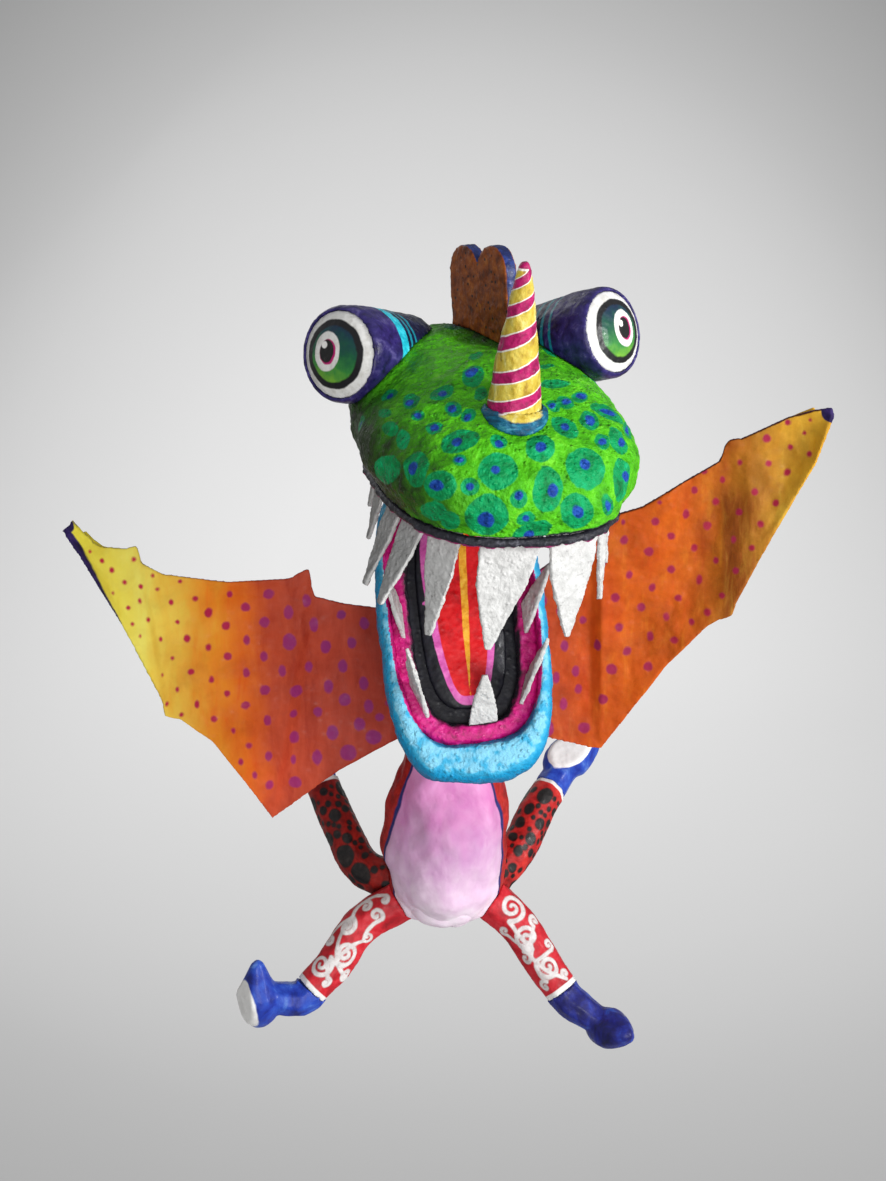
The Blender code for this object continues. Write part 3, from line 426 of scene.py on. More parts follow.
def lipPaint():
    # charcoal pulp bead, thinly brushed so that grey grit shows, magenta under its edge
    material, tree, shader, spot = pulpPaint("charcoal_pulp_paint", grain=1.0, rise=1.0, gloss=0.45, deep=0.9)
    dark = brushed(tree, spot, ("#131318", "#22222a", "#2b2b34", "#565660"), 3)
    under = brushed(tree, spot, ("#7a1450", "#a61e6c", "#c43a86"), 4)
    low = fieldOf(tree, "rise", spot, 0.9, 4)
    colour = paintOver(tree, dark, under, low, lipSet["under"], 0.3)
    tree.links.new(colour, shader.inputs["Base Color"])
    return material


lip = skinOf("upper_lip", lipSet["skin"])
setField(lip, "rise", within(pointsOf(lip), headFrame)[:, 2])
dress(lip, lipPaint())

hornSet = {
    "skin": {"voxel": 0.75, "ease": 14, "lumps": (("knead", 11, 1.6), ("wave", 5, 0.7), ("grain", 2.4, 0.4))},
    "collarSkin": {"voxel": 0.7, "ease": 8, "lumps": (("wave", 5, 0.8), ("grain", 2.2, 0.4))},
    "foot": (-5, -44, 39.9), "ring": 6.0,
    # height up the horn and the turn of the winding there
    "winding": ((0, -1.45), (6.5, -1), (20.5, 0), (34.8, 1), (53.0, 2), (67.4, 3), (79.6, 4), (89, 4.8)),
    "sway": 0.6, "tip": 82.2, "tipRate": 0.3,
    "long": 85, "pull": 3.4,
}
hornFrame = headFrame @ Matrix.Translation(Vector(hornSet["foot"]) * mm)


def hornPaint(name, ringed):
    # yellow ground, one magenta band wound up it between white lines; a blue-green ring at the foot
    material, tree, shader, spot = pulpPaint(name, grain=1.1, rise=0.8, gloss=0.4, deep=0.9)
    ground = brushed(tree, spot, ("#a07a22", "#ccb03c", "#dcc858", "#ece29c"), 5, (1, 1, 0.5))
    band = brushed(tree, spot, ("#7d0c44", "#b01460", "#cc2374"), 4)
    winding = fieldOf(tree, "winding", spot, 0.36, 5)
    colour = paintOver(tree, ground, "#f4efe6", winding, -0.10, 0.06)
    colour = paintOver(tree, colour, band, winding, -0.38, 0.06)
    if ringed:
        ring = brushed(tree, spot, ("#052c44", "#0a4a68", "#136488", "#4a9cb4"), 4, (0.5, 0.5, 2))
        colour = paintOver(tree, colour, ring, fieldOf(tree, "ring", spot, 1.6, 5), 0.0, 0.35)
    tree.links.new(colour, shader.inputs["Base Color"])
    return material


def windField(piece):
    own = within(pointsOf(piece), hornFrame)
    heights, turns = zip(*hornSet["winding"])
    about = np.arctan2(own[:, 0], -own[:, 1])
    sway = hornSet["sway"] * np.sin(about)
    wound = -np.cos(2 * math.pi * np.interp(own[:, 2], heights, turns) - about - sway)
    setField(piece, "winding", np.minimum(wound, (hornSet["tip"] - own[:, 2]) * hornSet["tipRate"]))


horn = skinOf("horn", hornSet["skin"])
own = within(pointsOf(horn), hornFrame)
own[:, 2] += hornSet["pull"] * np.clip(own[:, 2] / hornSet["long"], 0, 1) ** 2  # drawn out to a finer tip
press(horn, outOf(own, hornFrame))
windField(horn)
dress(horn, hornPaint("horn_paint", False))
collar = skinOf("horn_collar", hornSet["collarSkin"])
windField(collar)
skull = surfaceOf(head)
setField(collar, "ring", [skull.find_nearest(v.co)[3] / mm - hornSet["ring"] for v in collar.data.vertices])
dress(collar, hornPaint("horn_foot_paint", True))

crestSet = {
    "skin": {"voxel": 0.9, "ease": 14, "lumps": (("wave", 8, 0.9), ("grain", 2.6, 0.5))},
    "at": (11, 33, 0), "twist": 15, "tilt": -12, "face": 3.0,
}
crestFrame = (headFrame @ Matrix.Translation(Vector(crestSet["at"]) * mm)
              @ Matrix.Rotation(math.radians(crestSet["twist"]), 4, "Z")
              @ Matrix.Rotation(math.radians(crestSet["tilt"]), 4, "X"))


def crestPaint():
    # burnt orange wash flecked with brown on the faces, navy round the edge
    material, tree, shader, spot = pulpPaint("crest_paint", grain=1.2, rise=0.6, gloss=0.42)
    face = brushed(tree, spot, ("#4a2210", "#7a3a16", "#9c501c", "#b4682a"), 6)
    fleck = add(tree, "TexVoronoi", {"Vector": spot, "Scale": 1 / (5 * mm)})
    face = paintOver(tree, face, "#1d0e0a", fleck.outputs["Distance"], 0.16, 0.05)
    navy = brushed(tree, spot, ("#11183c", "#1c2a62", "#31458e"), 4)
    edge = fieldOf(tree, "face", spot, 1.0, 5)
    colour = paintOver(tree, face, navy, edge, crestSet["face"], 0.25)
    tree.links.new(colour, shader.inputs["Base Color"])
    return material


crest = skinOf("crest", crestSet["skin"])
own = within(pointsOf(crest), crestFrame)
setField(crest, "face", np.abs(own[:, 0]))
dress(crest, crestPaint())
print("lip, horn, collar and crest painted")

eyeSet = {
    "left": {"at": (-76.9, 34.0, 59.8), "looks": (-0.77, -0.59, 0.22), "disc": 22.7, "sight": (-0.18, 0.03)},
    "right": {"at": (70.6, 18.4, 72.8), "looks": (0.48, -0.79, 0.37), "disc": 21.7, "sight": (0.16, 0.03)},
    "skin": {"voxel": 0.75, "ease": 22, "lumps": (("wave", 9, 0.5), ("grain", 2.4, 0.3))},
    "stalkSkin": {"voxel": 1.0, "ease": 16, "lumps": (("wave", 10, 0.9), ("grain", 2.8, 0.5))},
    # behind the disc, width
    "stripes": {"left": ((26.0, 7.0), (33.0, 1.8), (37.5, 1.8)),
                "right": ((25.0, 1.8), (31.0, 2.2), (37.0, 2.2))},
    "broad": 3, "root": 29.0,  # a stripe wider than this is bright; behind the root the barrel is navy, partly its paint and partly painted shade where it meets the head
    # the rest in shares of the disc's radius
    "rings": {"black": 0.80, "iris": 0.645, "white": 0.46, "blush": 0.295, "pupil": 0.265, "glint": 0.085},
    "squeeze": 0.82, "blush": (0.03, -0.01), "glint": (-0.10, 0.13),
    "iris": ((0.16, "#74b038"), (0.34, "#35863a"), (0.52, "#145c3a"), (0.74, "#0e3844"), (0.88, "#122244")),
}


def eyeFrame(settings):
    ahead = Vector(settings["looks"]).normalized()
    left = ahead.cross(Vector((0, 0, 1))).normalized()
    up = left.cross(ahead)
    matrix = Matrix((-left, up, ahead)).transposed().to_4x4()  # right, up, ahead
    matrix.translation = Vector(settings["at"]) * mm
    return headFrame @ matrix


def eyePaint(side):
    # enamel bright rings brushed by eye: white, black, a green iris, white, magenta, black and one light
    material, tree, shader, spot = pulpPaint("eye_paint_" + side, grain=1.4, rise=0.4, gloss=0.4, coat=0.1)
    rim = fieldOf(tree, "rim", spot, 0.07, 7)
    sight = fieldOf(tree, "sight", spot, 0.05, 5)
    up = fieldOf(tree, "up", spot, 0.3, 5)
    glint = fieldOf(tree, "glint", spot, 0.03, 3)
    white = brushed(tree, spot, ("#d8d6d0", "#f0efec", "#f8f8f6"), 5)
    rings = eyeSet["rings"]
    colour = paintOver(tree, white, "#101014", rim, rings["black"], 0.015)
    colour = paintOver(tree, colour, shadesBy(tree, up, eyeSet["iris"]), rim, rings["iris"], 0.02)
    colour = paintOver(tree, colour, white, sight, rings["white"], 0.015)
    colour = paintOver(tree, colour, "#c01a72", fieldOf(tree, "blush", spot, 0.05, 5), rings["blush"], 0.015)
    colour = paintOver(tree, colour, "#0b0b0e", sight, rings["pupil"], 0.015)
    colour = paintOver(tree, colour, "#fbfbf8", glint, rings["glint"], 0.012)
    tree.links.new(colour, shader.inputs["Base Color"])
    return material


def stalkPaint(side, stripes):
    # violet black barrel, brushed round, with thin turquoise rings
    name = "stalk_paint_" + side
    material, tree, shader, spot = pulpPaint(name, grain=1.3, rise=0.6, gloss=0.36, coat=0.12)
    colour = brushed(tree, spot, ("#120c30", "#221a54", "#32286c", "#5a528c"), 6)
    back = fieldOf(tree, "back", spot, 1.2, 7)
    # partly painted shade: the barrel turns navy near the head
    near = add(tree, "Math", {0: eyeSet["root"], 1: back}, operation="SUBTRACT").outputs[0]
    navy = brushed(tree, spot, ("#060a1e", "#0c1436", "#142050"), 5)
    colour = paintOver(tree, colour, navy, near, 0.0, 0.6)
    for at, wide in stripes:
        ring = add(tree, "Math", {0: back, 1: at}, operation="SUBTRACT")
        ring = add(tree, "Math", {0: ring.outputs[0]}, operation="ABSOLUTE")
        bright = wide > eyeSet["broad"]
        shades = ("#0f8fa6", "#22c0d8", "#58dcec") if bright else ("#0c6c80", "#1c9ab0")
        colour = paintOver(tree, colour, brushed(tree, spot, shades, 3), ring.outputs[0], wide / 2, 0.3)
    tree.links.new(colour, shader.inputs["Base Color"])
    return material


for side in ("left", "right"):
    facing = eyeFrame(eyeSet[side])
    ball = skinOf("eye_" + side, eyeSet["skin"])
    own = within(pointsOf(ball), facing) / eyeSet[side]["disc"]
    setField(ball, "rim", np.hypot(own[:, 0], own[:, 1]))
    setField(ball, "up", 0.5 + own[:, 1] / 2)
    across, above = own[:, 0] - eyeSet[side]["sight"][0], own[:, 1] - eyeSet[side]["sight"][1]
    squeeze, blush, glint = eyeSet["squeeze"], eyeSet["blush"], eyeSet["glint"]
    setField(ball, "sight", np.hypot(across / squeeze, above))
    setField(ball, "blush", np.hypot((across - blush[0]) / squeeze, above - blush[1]))
    setField(ball, "glint", np.hypot(across - glint[0], above - glint[1]))
    dress(ball, eyePaint(side))
    stalk = skinOf("eye_stalk_" + side, eyeSet["stalkSkin"])
    setField(stalk, "back", -within(pointsOf(stalk), facing)[:, 2])
    dress(stalk, stalkPaint(side, eyeSet["stripes"][side]))
print("eyes and stalks painted")

toothSet = {
    "skin": {"voxel": 0.6, "ease": 5, "crisp": 0.5,
             "lumps": (("knead", 12, 1.8), ("wave", 4, 1.1), ("grain", 1.8, 0.6))},
    "names": [name for name in sorted(nodes) if "tooth" in name],
    # painted shade: grey lies left of the edge, less on the cut sides of the card, and not on the lower teeth
    "dust": {"edge": -50, "soft": 18, "cutSide": 60, "lower": 99},
}


def toothPaint():
    # gesso on grey board: chalk white, pricked with pits where the pulp shows
    material, tree, shader, spot = pulpPaint("gesso_on_card", grain=0.9, rise=0.9, gloss=0.6, deep=0.9)
    chalk = brushed(tree, spot, ("#bcbcba", "#cfcfcd", "#dededc"), 5)
    prick = add(tree, "TexVoronoi", {"Vector": spot, "Scale": 1 / (4.2 * mm)})
    # painted shade: the chalk is greyed towards the left of the mouth
    shadedChalk = brushed(tree, spot, ("#848484", "#9a9a9a", "#b2b2b2"), 6)
    lies = toothSet["dust"]
    chalk = paintOver(tree, chalk, shadedChalk, fieldOf(tree, "dust", spot, 14, 7), lies["edge"], lies["soft"])
    colour = paintOver(tree, chalk, "#b4b4b2", prick.outputs["Distance"], 0.1, 0.06)
    tree.links.new(colour, shader.inputs["Base Color"])
    return material


gesso = toothPaint()
for name in toothSet["names"]:
    tooth = skinOf(name, toothSet["skin"])
    own = within(pointsOf(tooth), headFrame)
    flat = np.linalg.svd(own - own.mean(0), full_matrices=False)[2][2]  # the way its card faces
    facing = np.abs(within(normalsOf(tooth) + np.array(headFrame.translation), headFrame) @ flat) / 1000
    lies = toothSet["dust"]
    # the painted shade keeps off the card's cut sides and off the lower teeth
    lessShade = lies["cutSide"] * np.clip(0.8 - facing, 0, 0.7)
    setField(tooth, "dust", own[:, 0] + lessShade + (lies["lower"] if "lower" in name else 0))
    dress(tooth, gesso)
print("teeth cut:", len(toothSet["names"]))

jawSet = {
    "skin": {"voxel": 1.3, "ease": 26, "lumps": (("knead", 30, 4.0), ("wave", 12, 1.2), ("grain", 3.2, 1.1))},
    "gumSkin": {"voxel": 0.9, "ease": 12, "lumps": (("wave", 7, 1.0), ("grain", 2.4, 0.6))},
    "floorSkin": {"voxel": 1.2, "ease": 12, "lumps": (("wave", 9, 0.8), ("grain", 2.8, 0.4))},
    "tongueSkin": {"voxel": 0.9, "ease": 14, "lumps": (("wave", 9, 0.8), ("grain", 2.6, 0.5))},
    # half width, chin end, heel end
    "brim": (42.0, -113, 58), "tongue": (24, -95, 32),
    "roundness": (3.4, 2.2),  # how square the outline is at the chin and at the heel
    "fade": (-32, 40), "inner": -16,  # where the blue starts to pale and over what height; magenta above
    "tones": ((0.05, "#04689c"), (0.62, "#0678ae"), (0.80, "#0a8abf"), (0.92, "#149ace"), (0.98, "#42b4de"),
              (1.0, "#84cfec")),
    "lining": ("#0c0c12", "#16161e", "#20202a"),
    "gumFill": (5.5, 4.4), "gumBend": -80, "gumEdge": 0.35,  # side and chin; where the chin's round begins
    "narrow": ((-95, 0.6), (-60, 0.8), (0, 1.0)),
    "line": {"at": 5, "lean": 17, "half": 2.2, "end": -92, "taper": 40, "least": 0.2},
}


def outlineDepth(own, halfWidth, chin, heel):
    # millimetres from a rounded outline, less than nothing inside it
    middle, half = (chin + heel) / 2, (heel - chin) / 2
    turn = np.linspace(0, 2 * math.pi, 240)
    power = np.where(np.sin(turn) < 0, *jawSet["roundness"])
    rim = np.stack((halfWidth * np.sign(np.cos(turn)) * np.abs(np.cos(turn)) ** (2 / power),
                    middle + half * np.sign(np.sin(turn)) * np.abs(np.sin(turn)) ** (2 / power)), 1)
    shares = np.array_split(own[:, :2], 20)
    gap = np.concatenate([np.linalg.norm(share[:, None] - rim[None], axis=2).min(1) for share in shares])
    power = np.where(own[:, 1] < middle, *jawSet["roundness"])
    reach = np.abs(own[:, 0] / halfWidth) ** power + np.abs((own[:, 1] - middle) / half) ** power
    return np.where(reach < 1, -gap, gap)


def jawPaint():
    # turquoise brushed down from a pale lip, magenta inside the brim
    material, tree, shader, spot = pulpPaint("cyan_pulp_paint", grain=1.0, rise=1.0, coat=0.0, deep=1.5,
                                             sheen=0.2)
    colour = shadesBy(tree, fieldOf(tree, "rise", spot, 0.14, 6), jawSet["tones"])
    drag = brushed(tree, spot, ("#6c6c6c", "#b0b0b0", "#dcdcdc"), 6)
    colour = workedIn(tree, colour, drag, 0.25)
    pink = brushed(tree, spot, ("#9a0c58", "#c8137a", "#dc2c90"), 5)
    inside = fieldOf(tree, "inside", spot, 1.4, 6)
    colour = paintOver(tree, colour, pink, inside, 0.0, 0.4)
    tree.links.new(colour, shader.inputs["Base Color"])
    return material


def gumPaint():
    # magenta over pulp, thick and a little shiny
    material, tree, shader, spot = pulpPaint("magenta_pulp_paint", grain=1.0, rise=0.9, gloss=0.36,
                                             coat=0.08, deep=0.9)
    colour = brushed(tree, spot, ("#8c0a4e", "#c01070", "#d21a80", "#e44c9e"), 5)
    lining = brushed(tree, spot, jawSet["lining"], 6)
    colour = paintOver(tree, colour, lining, fieldOf(tree, "outer", spot, 1.6, 6), 0.0, 0.4)
    tree.links.new(colour, shader.inputs["Base Color"])
    return material


def floorPaint():
    # black lining with stray white flecks off the brush
    material, tree, shader, spot = pulpPaint("black_lining_paint", grain=1.3, rise=0.6, gloss=0.45)
    dark = brushed(tree, spot, jawSet["lining"], 6)
    fleck = add(tree, "TexVoronoi", {"Vector": spot, "Scale": 1 / (9 * mm)})
    colour = paintOver(tree, dark, "#d8d8dc", fleck.outputs["Distance"], 0.055, 0.02)
    tree.links.new(colour, shader.inputs["Base Color"])
    return material


def tonguePaint():
    # signal red, a pink edge all round, an ochre line down the middle
    material, tree, shader, spot = pulpPaint("tongue_paint", grain=1.4, rise=0.45, gloss=0.42)
    red = brushed(tree, spot, ("#a80b12", "#d2121a", "#de2628"), 8)
    pink = brushed(tree, spot, ("#b84390", "#d95fb2", "#e888c6"), 6)
    ochre = brushed(tree, spot, ("#c87c18", "#e8a428", "#f2c04a"), 4)
    inside = fieldOf(tree, "inside", spot, 1.0, 6)
    across = fieldOf(tree, "across", spot, 1.0, 9)
    line = paintOver(tree, red, ochre, across, 0.0, 0.25)
    lining = brushed(tree, spot, jawSet["lining"], 6)
    colour = paintOver(tree, lining, pink, inside, -2.6, 0.3)
    colour = paintOver(tree, colour, line, inside, -7.6, 0.3)
    tree.links.new(colour, shader.inputs["Base Color"])
    return material


jaw = skinOf("lower_jaw", jawSet["skin"])
own = within(pointsOf(jaw), jawFrame)
foot, span = jawSet["fade"]
setField(jaw, "rise", np.clip((own[:, 2] - foot) / span, 0, 1))
setField(jaw, "inside", np.where(own[:, 2] > jawSet["inner"], outlineDepth(own, *jawSet["brim"]), 9))
dress(jaw, jawPaint())
gum = skinOf("gum", jawSet["gumSkin"])
own = within(pointsOf(gum), jawFrame)
outward = np.stack((own[:, 0], np.minimum(0, own[:, 1] - jawSet["gumBend"]), 0 * own[:, 0]), 1)
outward /= np.linalg.norm(outward, axis=1)[:, None]
facing = ((normalsOf(gum) @ np.array(jawFrame.to_3x3())) * outward).sum(1)
fill = np.interp(-outward[:, 1], (0, 1), jawSet["gumFill"])
moved = own + outward * (fill * np.clip(facing, 0, 1))[:, None]  # pressed out against the jaw
press(gum, outOf(moved, jawFrame))
setField(gum, "outer", facing + jawSet["gumEdge"])
dress(gum, gumPaint())
lining = skinOf("mouth_floor", jawSet["floorSkin"])
dress(lining, floorPaint())
tongue = skinOf("tongue", jawSet["tongueSkin"])
own = within(pointsOf(tongue), jawFrame)
own[:, 0] /= np.interp(own[:, 1], *zip(*jawSet["narrow"]))
setField(tongue, "inside", outlineDepth(own, *jawSet["tongue"]))
line = jawSet["line"]
half = line["half"] * np.clip((own[:, 1] - line["end"]) / line["taper"], line["least"], 1)
setField(tongue, "across", np.abs(own[:, 0] - line["at"] - own[:, 1] / line["lean"]) - half)
dress(tongue, tonguePaint())
print("jaw, gum, lining and tongue painted")

bodySet = {
    "skin": {"voxel": 1.35, "ease": 40, "lumps": (("knead", 38, 10), ("wave", 15, 0.6), ("grain", 5, 0.4))},
    "neckSkin": {"voxel": 1.2, "ease": 24, "lumps": (("wave", 14, 1.0), ("grain", 4, 0.5))},
    # height, middle x, middle y
    "line": ((-217, 1, -4), (-165, 2, -2), (-110, 4, 1), (-75, 6, 4), (4, 10, 4)),
    "belly": ((-217, 78), (-190, 70), (-165, 66), (-130, 58), (-100, 50), (-60, 46)),  # height, half angle
    "foot": -217, "tall": 150,
    # up the belly
    "wash": ((0.05, "#f8eaf5"), (0.22, "#e8cee2"), (0.42, "#cfa2c6"), (0.62, "#d488bc"), (0.95, "#f2a2d8")),
}


def bodyPaint():
    # crimson sides, a lilac belly, paler at the bottom and deeper through the middle, one blue line between
    material, tree, shader, spot = pulpPaint("belly_and_side_paint", grain=1.6, rise=0.35, gloss=0.55)
    red = brushed(tree, spot, ("#7c1512", "#b02420", "#c8342c"), 9)
    wash = shadesBy(tree, fieldOf(tree, "up", spot, 0.25, 16), bodySet["wash"])
    pool = brushed(tree, spot, ("#70507e", "#9c86a2", "#bcb8bc", "#e2dee2"), 16, (1, 1, 0.6))
    belly = workedIn(tree, wash, pool, 0.55)
    front = fieldOf(tree, "front", spot, 5, 14)
    line = brushed(tree, spot, ("#141a4a", "#27307a"), 5)
    colour = paintOver(tree, red, line, front, 4.5, 1.0)
    colour = paintOver(tree, colour, belly, front, 0.0, 0.8)
    tree.links.new(colour, shader.inputs["Base Color"])
    return material


def neckPaint():
    # crimson over pasted paper
    material, tree, shader, spot = pulpPaint("neck_paint", grain=1.5, rise=0.4, gloss=0.5, coat=0.05)
    colour = brushed(tree, spot, ("#5c0e10", "#8a1a18", "#a82a24"), 8)
    tree.links.new(colour, shader.inputs["Base Color"])
    return material


trunk = skinOf("torso_shell", bodySet["skin"])
own = makersPlace(pointsOf(trunk))
levels, middleX, middleY = zip(*bodySet["line"])
aside = own[:, 0] - np.interp(own[:, 2], levels, middleX)
ahead = np.interp(own[:, 2], levels, middleY) - own[:, 1]
turned = np.abs(np.degrees(np.arctan2(aside, ahead)))
setField(trunk, "front", turned - np.interp(own[:, 2], *zip(*bodySet["belly"])))
setField(trunk, "up", (own[:, 2] - bodySet["foot"]) / bodySet["tall"])
dress(trunk, bodyPaint())
neck = skinOf("neck", bodySet["neckSkin"])
dress(neck, neckPaint())

limbSet = {
    "skin": {"voxel": 1.0, "ease": 26, "lumps": (("wave", 14, 1.2), ("grain", 4, 0.5))},
    "bootSkin": {"voxel": 0.95, "ease": 16, "lumps": (("wave", 12, 1.0), ("grain", 4, 0.4))},
    "cuff": 3.4, "radius": 12.0, "dab": 0.52,  # a dot's reach for its size
    # tries, round the limb from and to, sizes, room between dots
    "fill": ((160, (75, 285), (3, 4, 6, 8, 11), 1.5), (240, (-75, 75), (2.5, 3, 4, 5), 0.9)),
    # scrolls over the large reach wind further and are brushed wider, thinning towards the middle
    "brush": {"radius": 12.5, "large": 6.2, "rounds": (1.1, 1.65), "wide": (2.3, 2.7), "thin": (0.7, 0.9),
              "inset": 1.1, "tighten": 0.88, "steps": 36, "stem": 2.1, "stemSteps": 8, "bow": 9},
    # the toe is drawn up from its foot over a height about a middle; slimming starts at the ankle;
    # the sole reaches so far, and on the raised boot it is an oval seen along the foot
    "boot": {"toeFoot": 3, "toeTall": 15, "toeMiddle": 4, "ankle": 26, "ankleSoft": 8, "reach": 23,
             "across": (0.58, -0.80), "oval": (11.5, 15), "ovalDown": 3, "ovalSoft": 9},
    "arm_left": {
        "path": ((-20, 10, -195), (-50, 18, -191), (-66, 35, -170), (-80, 55, -146)),
        "foot": (-94, 78, -118), "sole": (0.15, -0.65, 0.75), "welt": 8.3,
        # along, round, across
        "dots": ((85, -65, 7.9), (79, -1, 3.9), (70, 6, 7.8), (59, -55, 9.1), (53, 11, 6.4), (44, -19, 12.2),
                 (30, -7, 11.5), (23, 24, 4.4), (67, -25, 2.6), (36, 40, 5), (72, 48, 5), (62, 40, 3)),
    },
    "arm_right": {
        "path": ((30, 10, -193), (48, 20, -178), (61, 38, -158), (70, 52, -150)),
        "foot": (86, 68, -132), "sole": (-0.15, -0.65, 0.75), "welt": 8.3,
        "dots": ((61, -8, 9.7), (50, -31, 6.4), (58, 63, 5.8), (40, -43, 7.1), (44, 23, 6.4), (33, 13, 7.0),
                 (29, -43, 5.8), (23, -5, 5.7), (27, 9, 3.2), (38, 60, 3.2), (51, 10, 2.6), (8, 10, 4.4),
                 (13, -16, 2.5), (62, -57, 3.9)),
    },
    "leg_left": {
        "path": ((-22, -2, -200), (-52, -8, -217), (-68, -18, -238), (-83, -25, -252)),
        "foot": (-115, -34, -252), "sole": (-0.80, -0.58, -0.10), "welt": 6.0, "toe": (5, 0.32),
        # along, round, reach, way round, start
        "scrolls": (
            (69, 38, 9.5, 1, 200), (54, -8, 9.0, -1, 20), (40, 34, 6.5, 1, 160), (36, -34, 6.0, -1, 0),
            (25, 46, 5.0, 1, 90), (22, 6, 5.5, -1, 240), (75, -14, 4.5, 1, 150), (64, -52, 5.0, 1, 300),
            (52, 62, 4.5, -1, 40), (13, 34, 4.0, 1, 120), (30, 125, 9.5, 1, 0), (50, 165, 9.5, -1, 90),
            (68, -120, 9.5, 1, 180), (44, -105, 9, -1, 200), (71, 110, 9, 1, 20), (26, -85, 5, 1, 60),
        ),
        "stems": ((0, 1), (1, 2), (1, 3), (2, 4), (3, 5), (4, 9), (0, 6), (1, 7), (2, 8)),
    },
    "leg_right": {
        "path": ((28, -2, -200), (48, -8, -217), (63, -18, -238), (75, -25, -253)),
        "foot": (104, -38, -272), "sole": (0.60, 0.20, -0.75), "welt": 8.0, "slim": 0.12,
        "scrolls": (
            (15, -30, 10, -1, 60), (35, -4, 9.5, 1, 10), (57, -12, 9.0, -1, 140), (30, -56, 5.0, 1, 60),
            (46, 36, 5.5, 1, 200), (66, 36, 5.0, -1, 240), (22, 40, 5.0, 1, 20), (46, -52, 5.0, -1, 0),
            (67, -48, 4.5, 1, 30), (20, 120, 9.5, 1, 40), (42, 160, 9.5, -1, 90), (62, -120, 9.5, 1, 180),
            (38, -110, 6, 1, 0), (62, 110, 9, -1, 20),
        ),
        "stems": ((0, 1), (1, 2), (1, 3), (1, 4), (2, 5), (1, 6), (2, 7), (2, 8)),
    },
}


def smoothPath(knots, steps=40):
    knots = [np.array(knot, float) for knot in knots]
    knots = [2 * knots[0] - knots[1], *knots, 2 * knots[-1] - knots[-2]]
    line = []
    for a, b, c, d in zip(knots, knots[1:], knots[2:], knots[3:]):
        for t in np.linspace(0, 1, steps, endpoint=False):
            square, cube = (2 * a - 5 * b + 4 * c - d) * t ** 2, (3 * b - a - 3 * c + d) * t ** 3
            line.append(0.5 * (2 * b + (c - a) * t + square + cube))
    return np.array(line + [knots[-2]])


def unroll(points, path):
    # along the limb in millimetres, and round it in degrees from the side that faces the viewer
    line = smoothPath(path)
    shares = np.array_split(points, 12)
    nearest = np.concatenate([((share[:, None] - line[None]) ** 2).sum(2).argmin(1) for share in shares])
    run = np.gradient(line, axis=0)
    run /= np.linalg.norm(run, axis=1)[:, None]
    view = np.array(paintedFrom)
    front = view - run * (run @ view)[:, None]
    front /= np.linalg.norm(front, axis=1)[:, None]
    side = np.cross(run, front)
    away = points - line[nearest]
    lengths = np.concatenate([[0], np.cumsum(np.linalg.norm(np.diff(line, axis=0), axis=1))])
    along = lengths[nearest] + (away * run[nearest]).sum(1)
    around = np.degrees(np.arctan2((away * side[nearest]).sum(1), (away * front[nearest]).sum(1)))
    return along, around, lengths[-1]


def apart(turn, other):
    # the shorter way round, in degrees
    return (turn - other + 180) % 360 - 180


def dotField(along, around, dots):
    field = np.full(len(along), 20.0)
    for at, turn, size in dots:
        across = np.radians(apart(around, turn)) * limbSet["radius"]
        np.minimum(field, np.hypot(along - at, across) - size * limbSet["dab"], out=field)
    return field


def moreDots(dots, length, dice):
    # the far side is filled first, then small dots go into the gaps of the near one
    dots = list(dots)
    for tries, turns, sizes, room in limbSet["fill"]:
        for _ in range(tries):
            at, turn, size = dice.uniform(6, length - 8), dice.uniform(*turns), dice.choice(sizes)
            clear = True
            for otherAt, otherTurn, otherSize in dots:
                across = math.radians(apart(turn, otherTurn)) * limbSet["radius"]
                clear = clear and math.hypot(at - otherAt, across) > (size + otherSize) / 2 + room
            if clear:
                dots.append((at, turn, size))
    return dots


def strokeField(along, around, strokes):
    # distance to the painted strokes, less half the width of the brush
    field = np.full(len(along), 20.0)
    radius = limbSet["brush"]["radius"]
    for stroke in strokes:
        for (a, turnA, wideA), (b, turnB, wideB) in zip(stroke, stroke[1:]):
            across = np.radians(apart(around, turnA)) * radius
            runX, runY = b - a, math.radians(turnB - turnA) * radius
            share = ((along - a) * runX + across * runY) / max(1e-9, runX ** 2 + runY ** 2)
            share = np.clip(share, 0, 1)
            half = (wideA + (wideB - wideA) * share) / 2
            np.minimum(field, np.hypot(along - a - share * runX, across - share * runY) - half, out=field)
    return field


def scrollStrokes(settings):
    brush = limbSet["brush"]
    strokes, starts = [], []
    for at, turn, reach, way, start in settings["scrolls"]:
        coil = []
        large = reach > brush["large"]
        for i in range(brush["steps"] + 1):
            t = i / brush["steps"]
            angle = math.radians(start) + way * 2 * math.pi * brush["rounds"][large] * t
            out = (reach - brush["inset"]) * (1 - brush["tighten"] * t)
            wide = brush["wide"][large] - brush["thin"][large] * t
            aside = math.degrees(out * math.sin(angle) / brush["radius"])
            coil.append((at + out * math.cos(angle), turn + aside, wide))
        strokes.append(coil)
        starts.append(coil[0])
    for first, second in settings["stems"]:
        (a, turnA, wideA), (b, turnB, _) = starts[first], starts[second]
        bend = [(a, turnA, wideA)]
        for i in range(1, brush["stemSteps"] + 1):
            t = i / brush["stemSteps"]
            bow = math.sin(math.pi * t) * brush["bow"]
            bend.append((a + (b - a) * t, turnA + (turnB - turnA) * t + bow, brush["stem"]))
        strokes.append(bend)
    return strokes


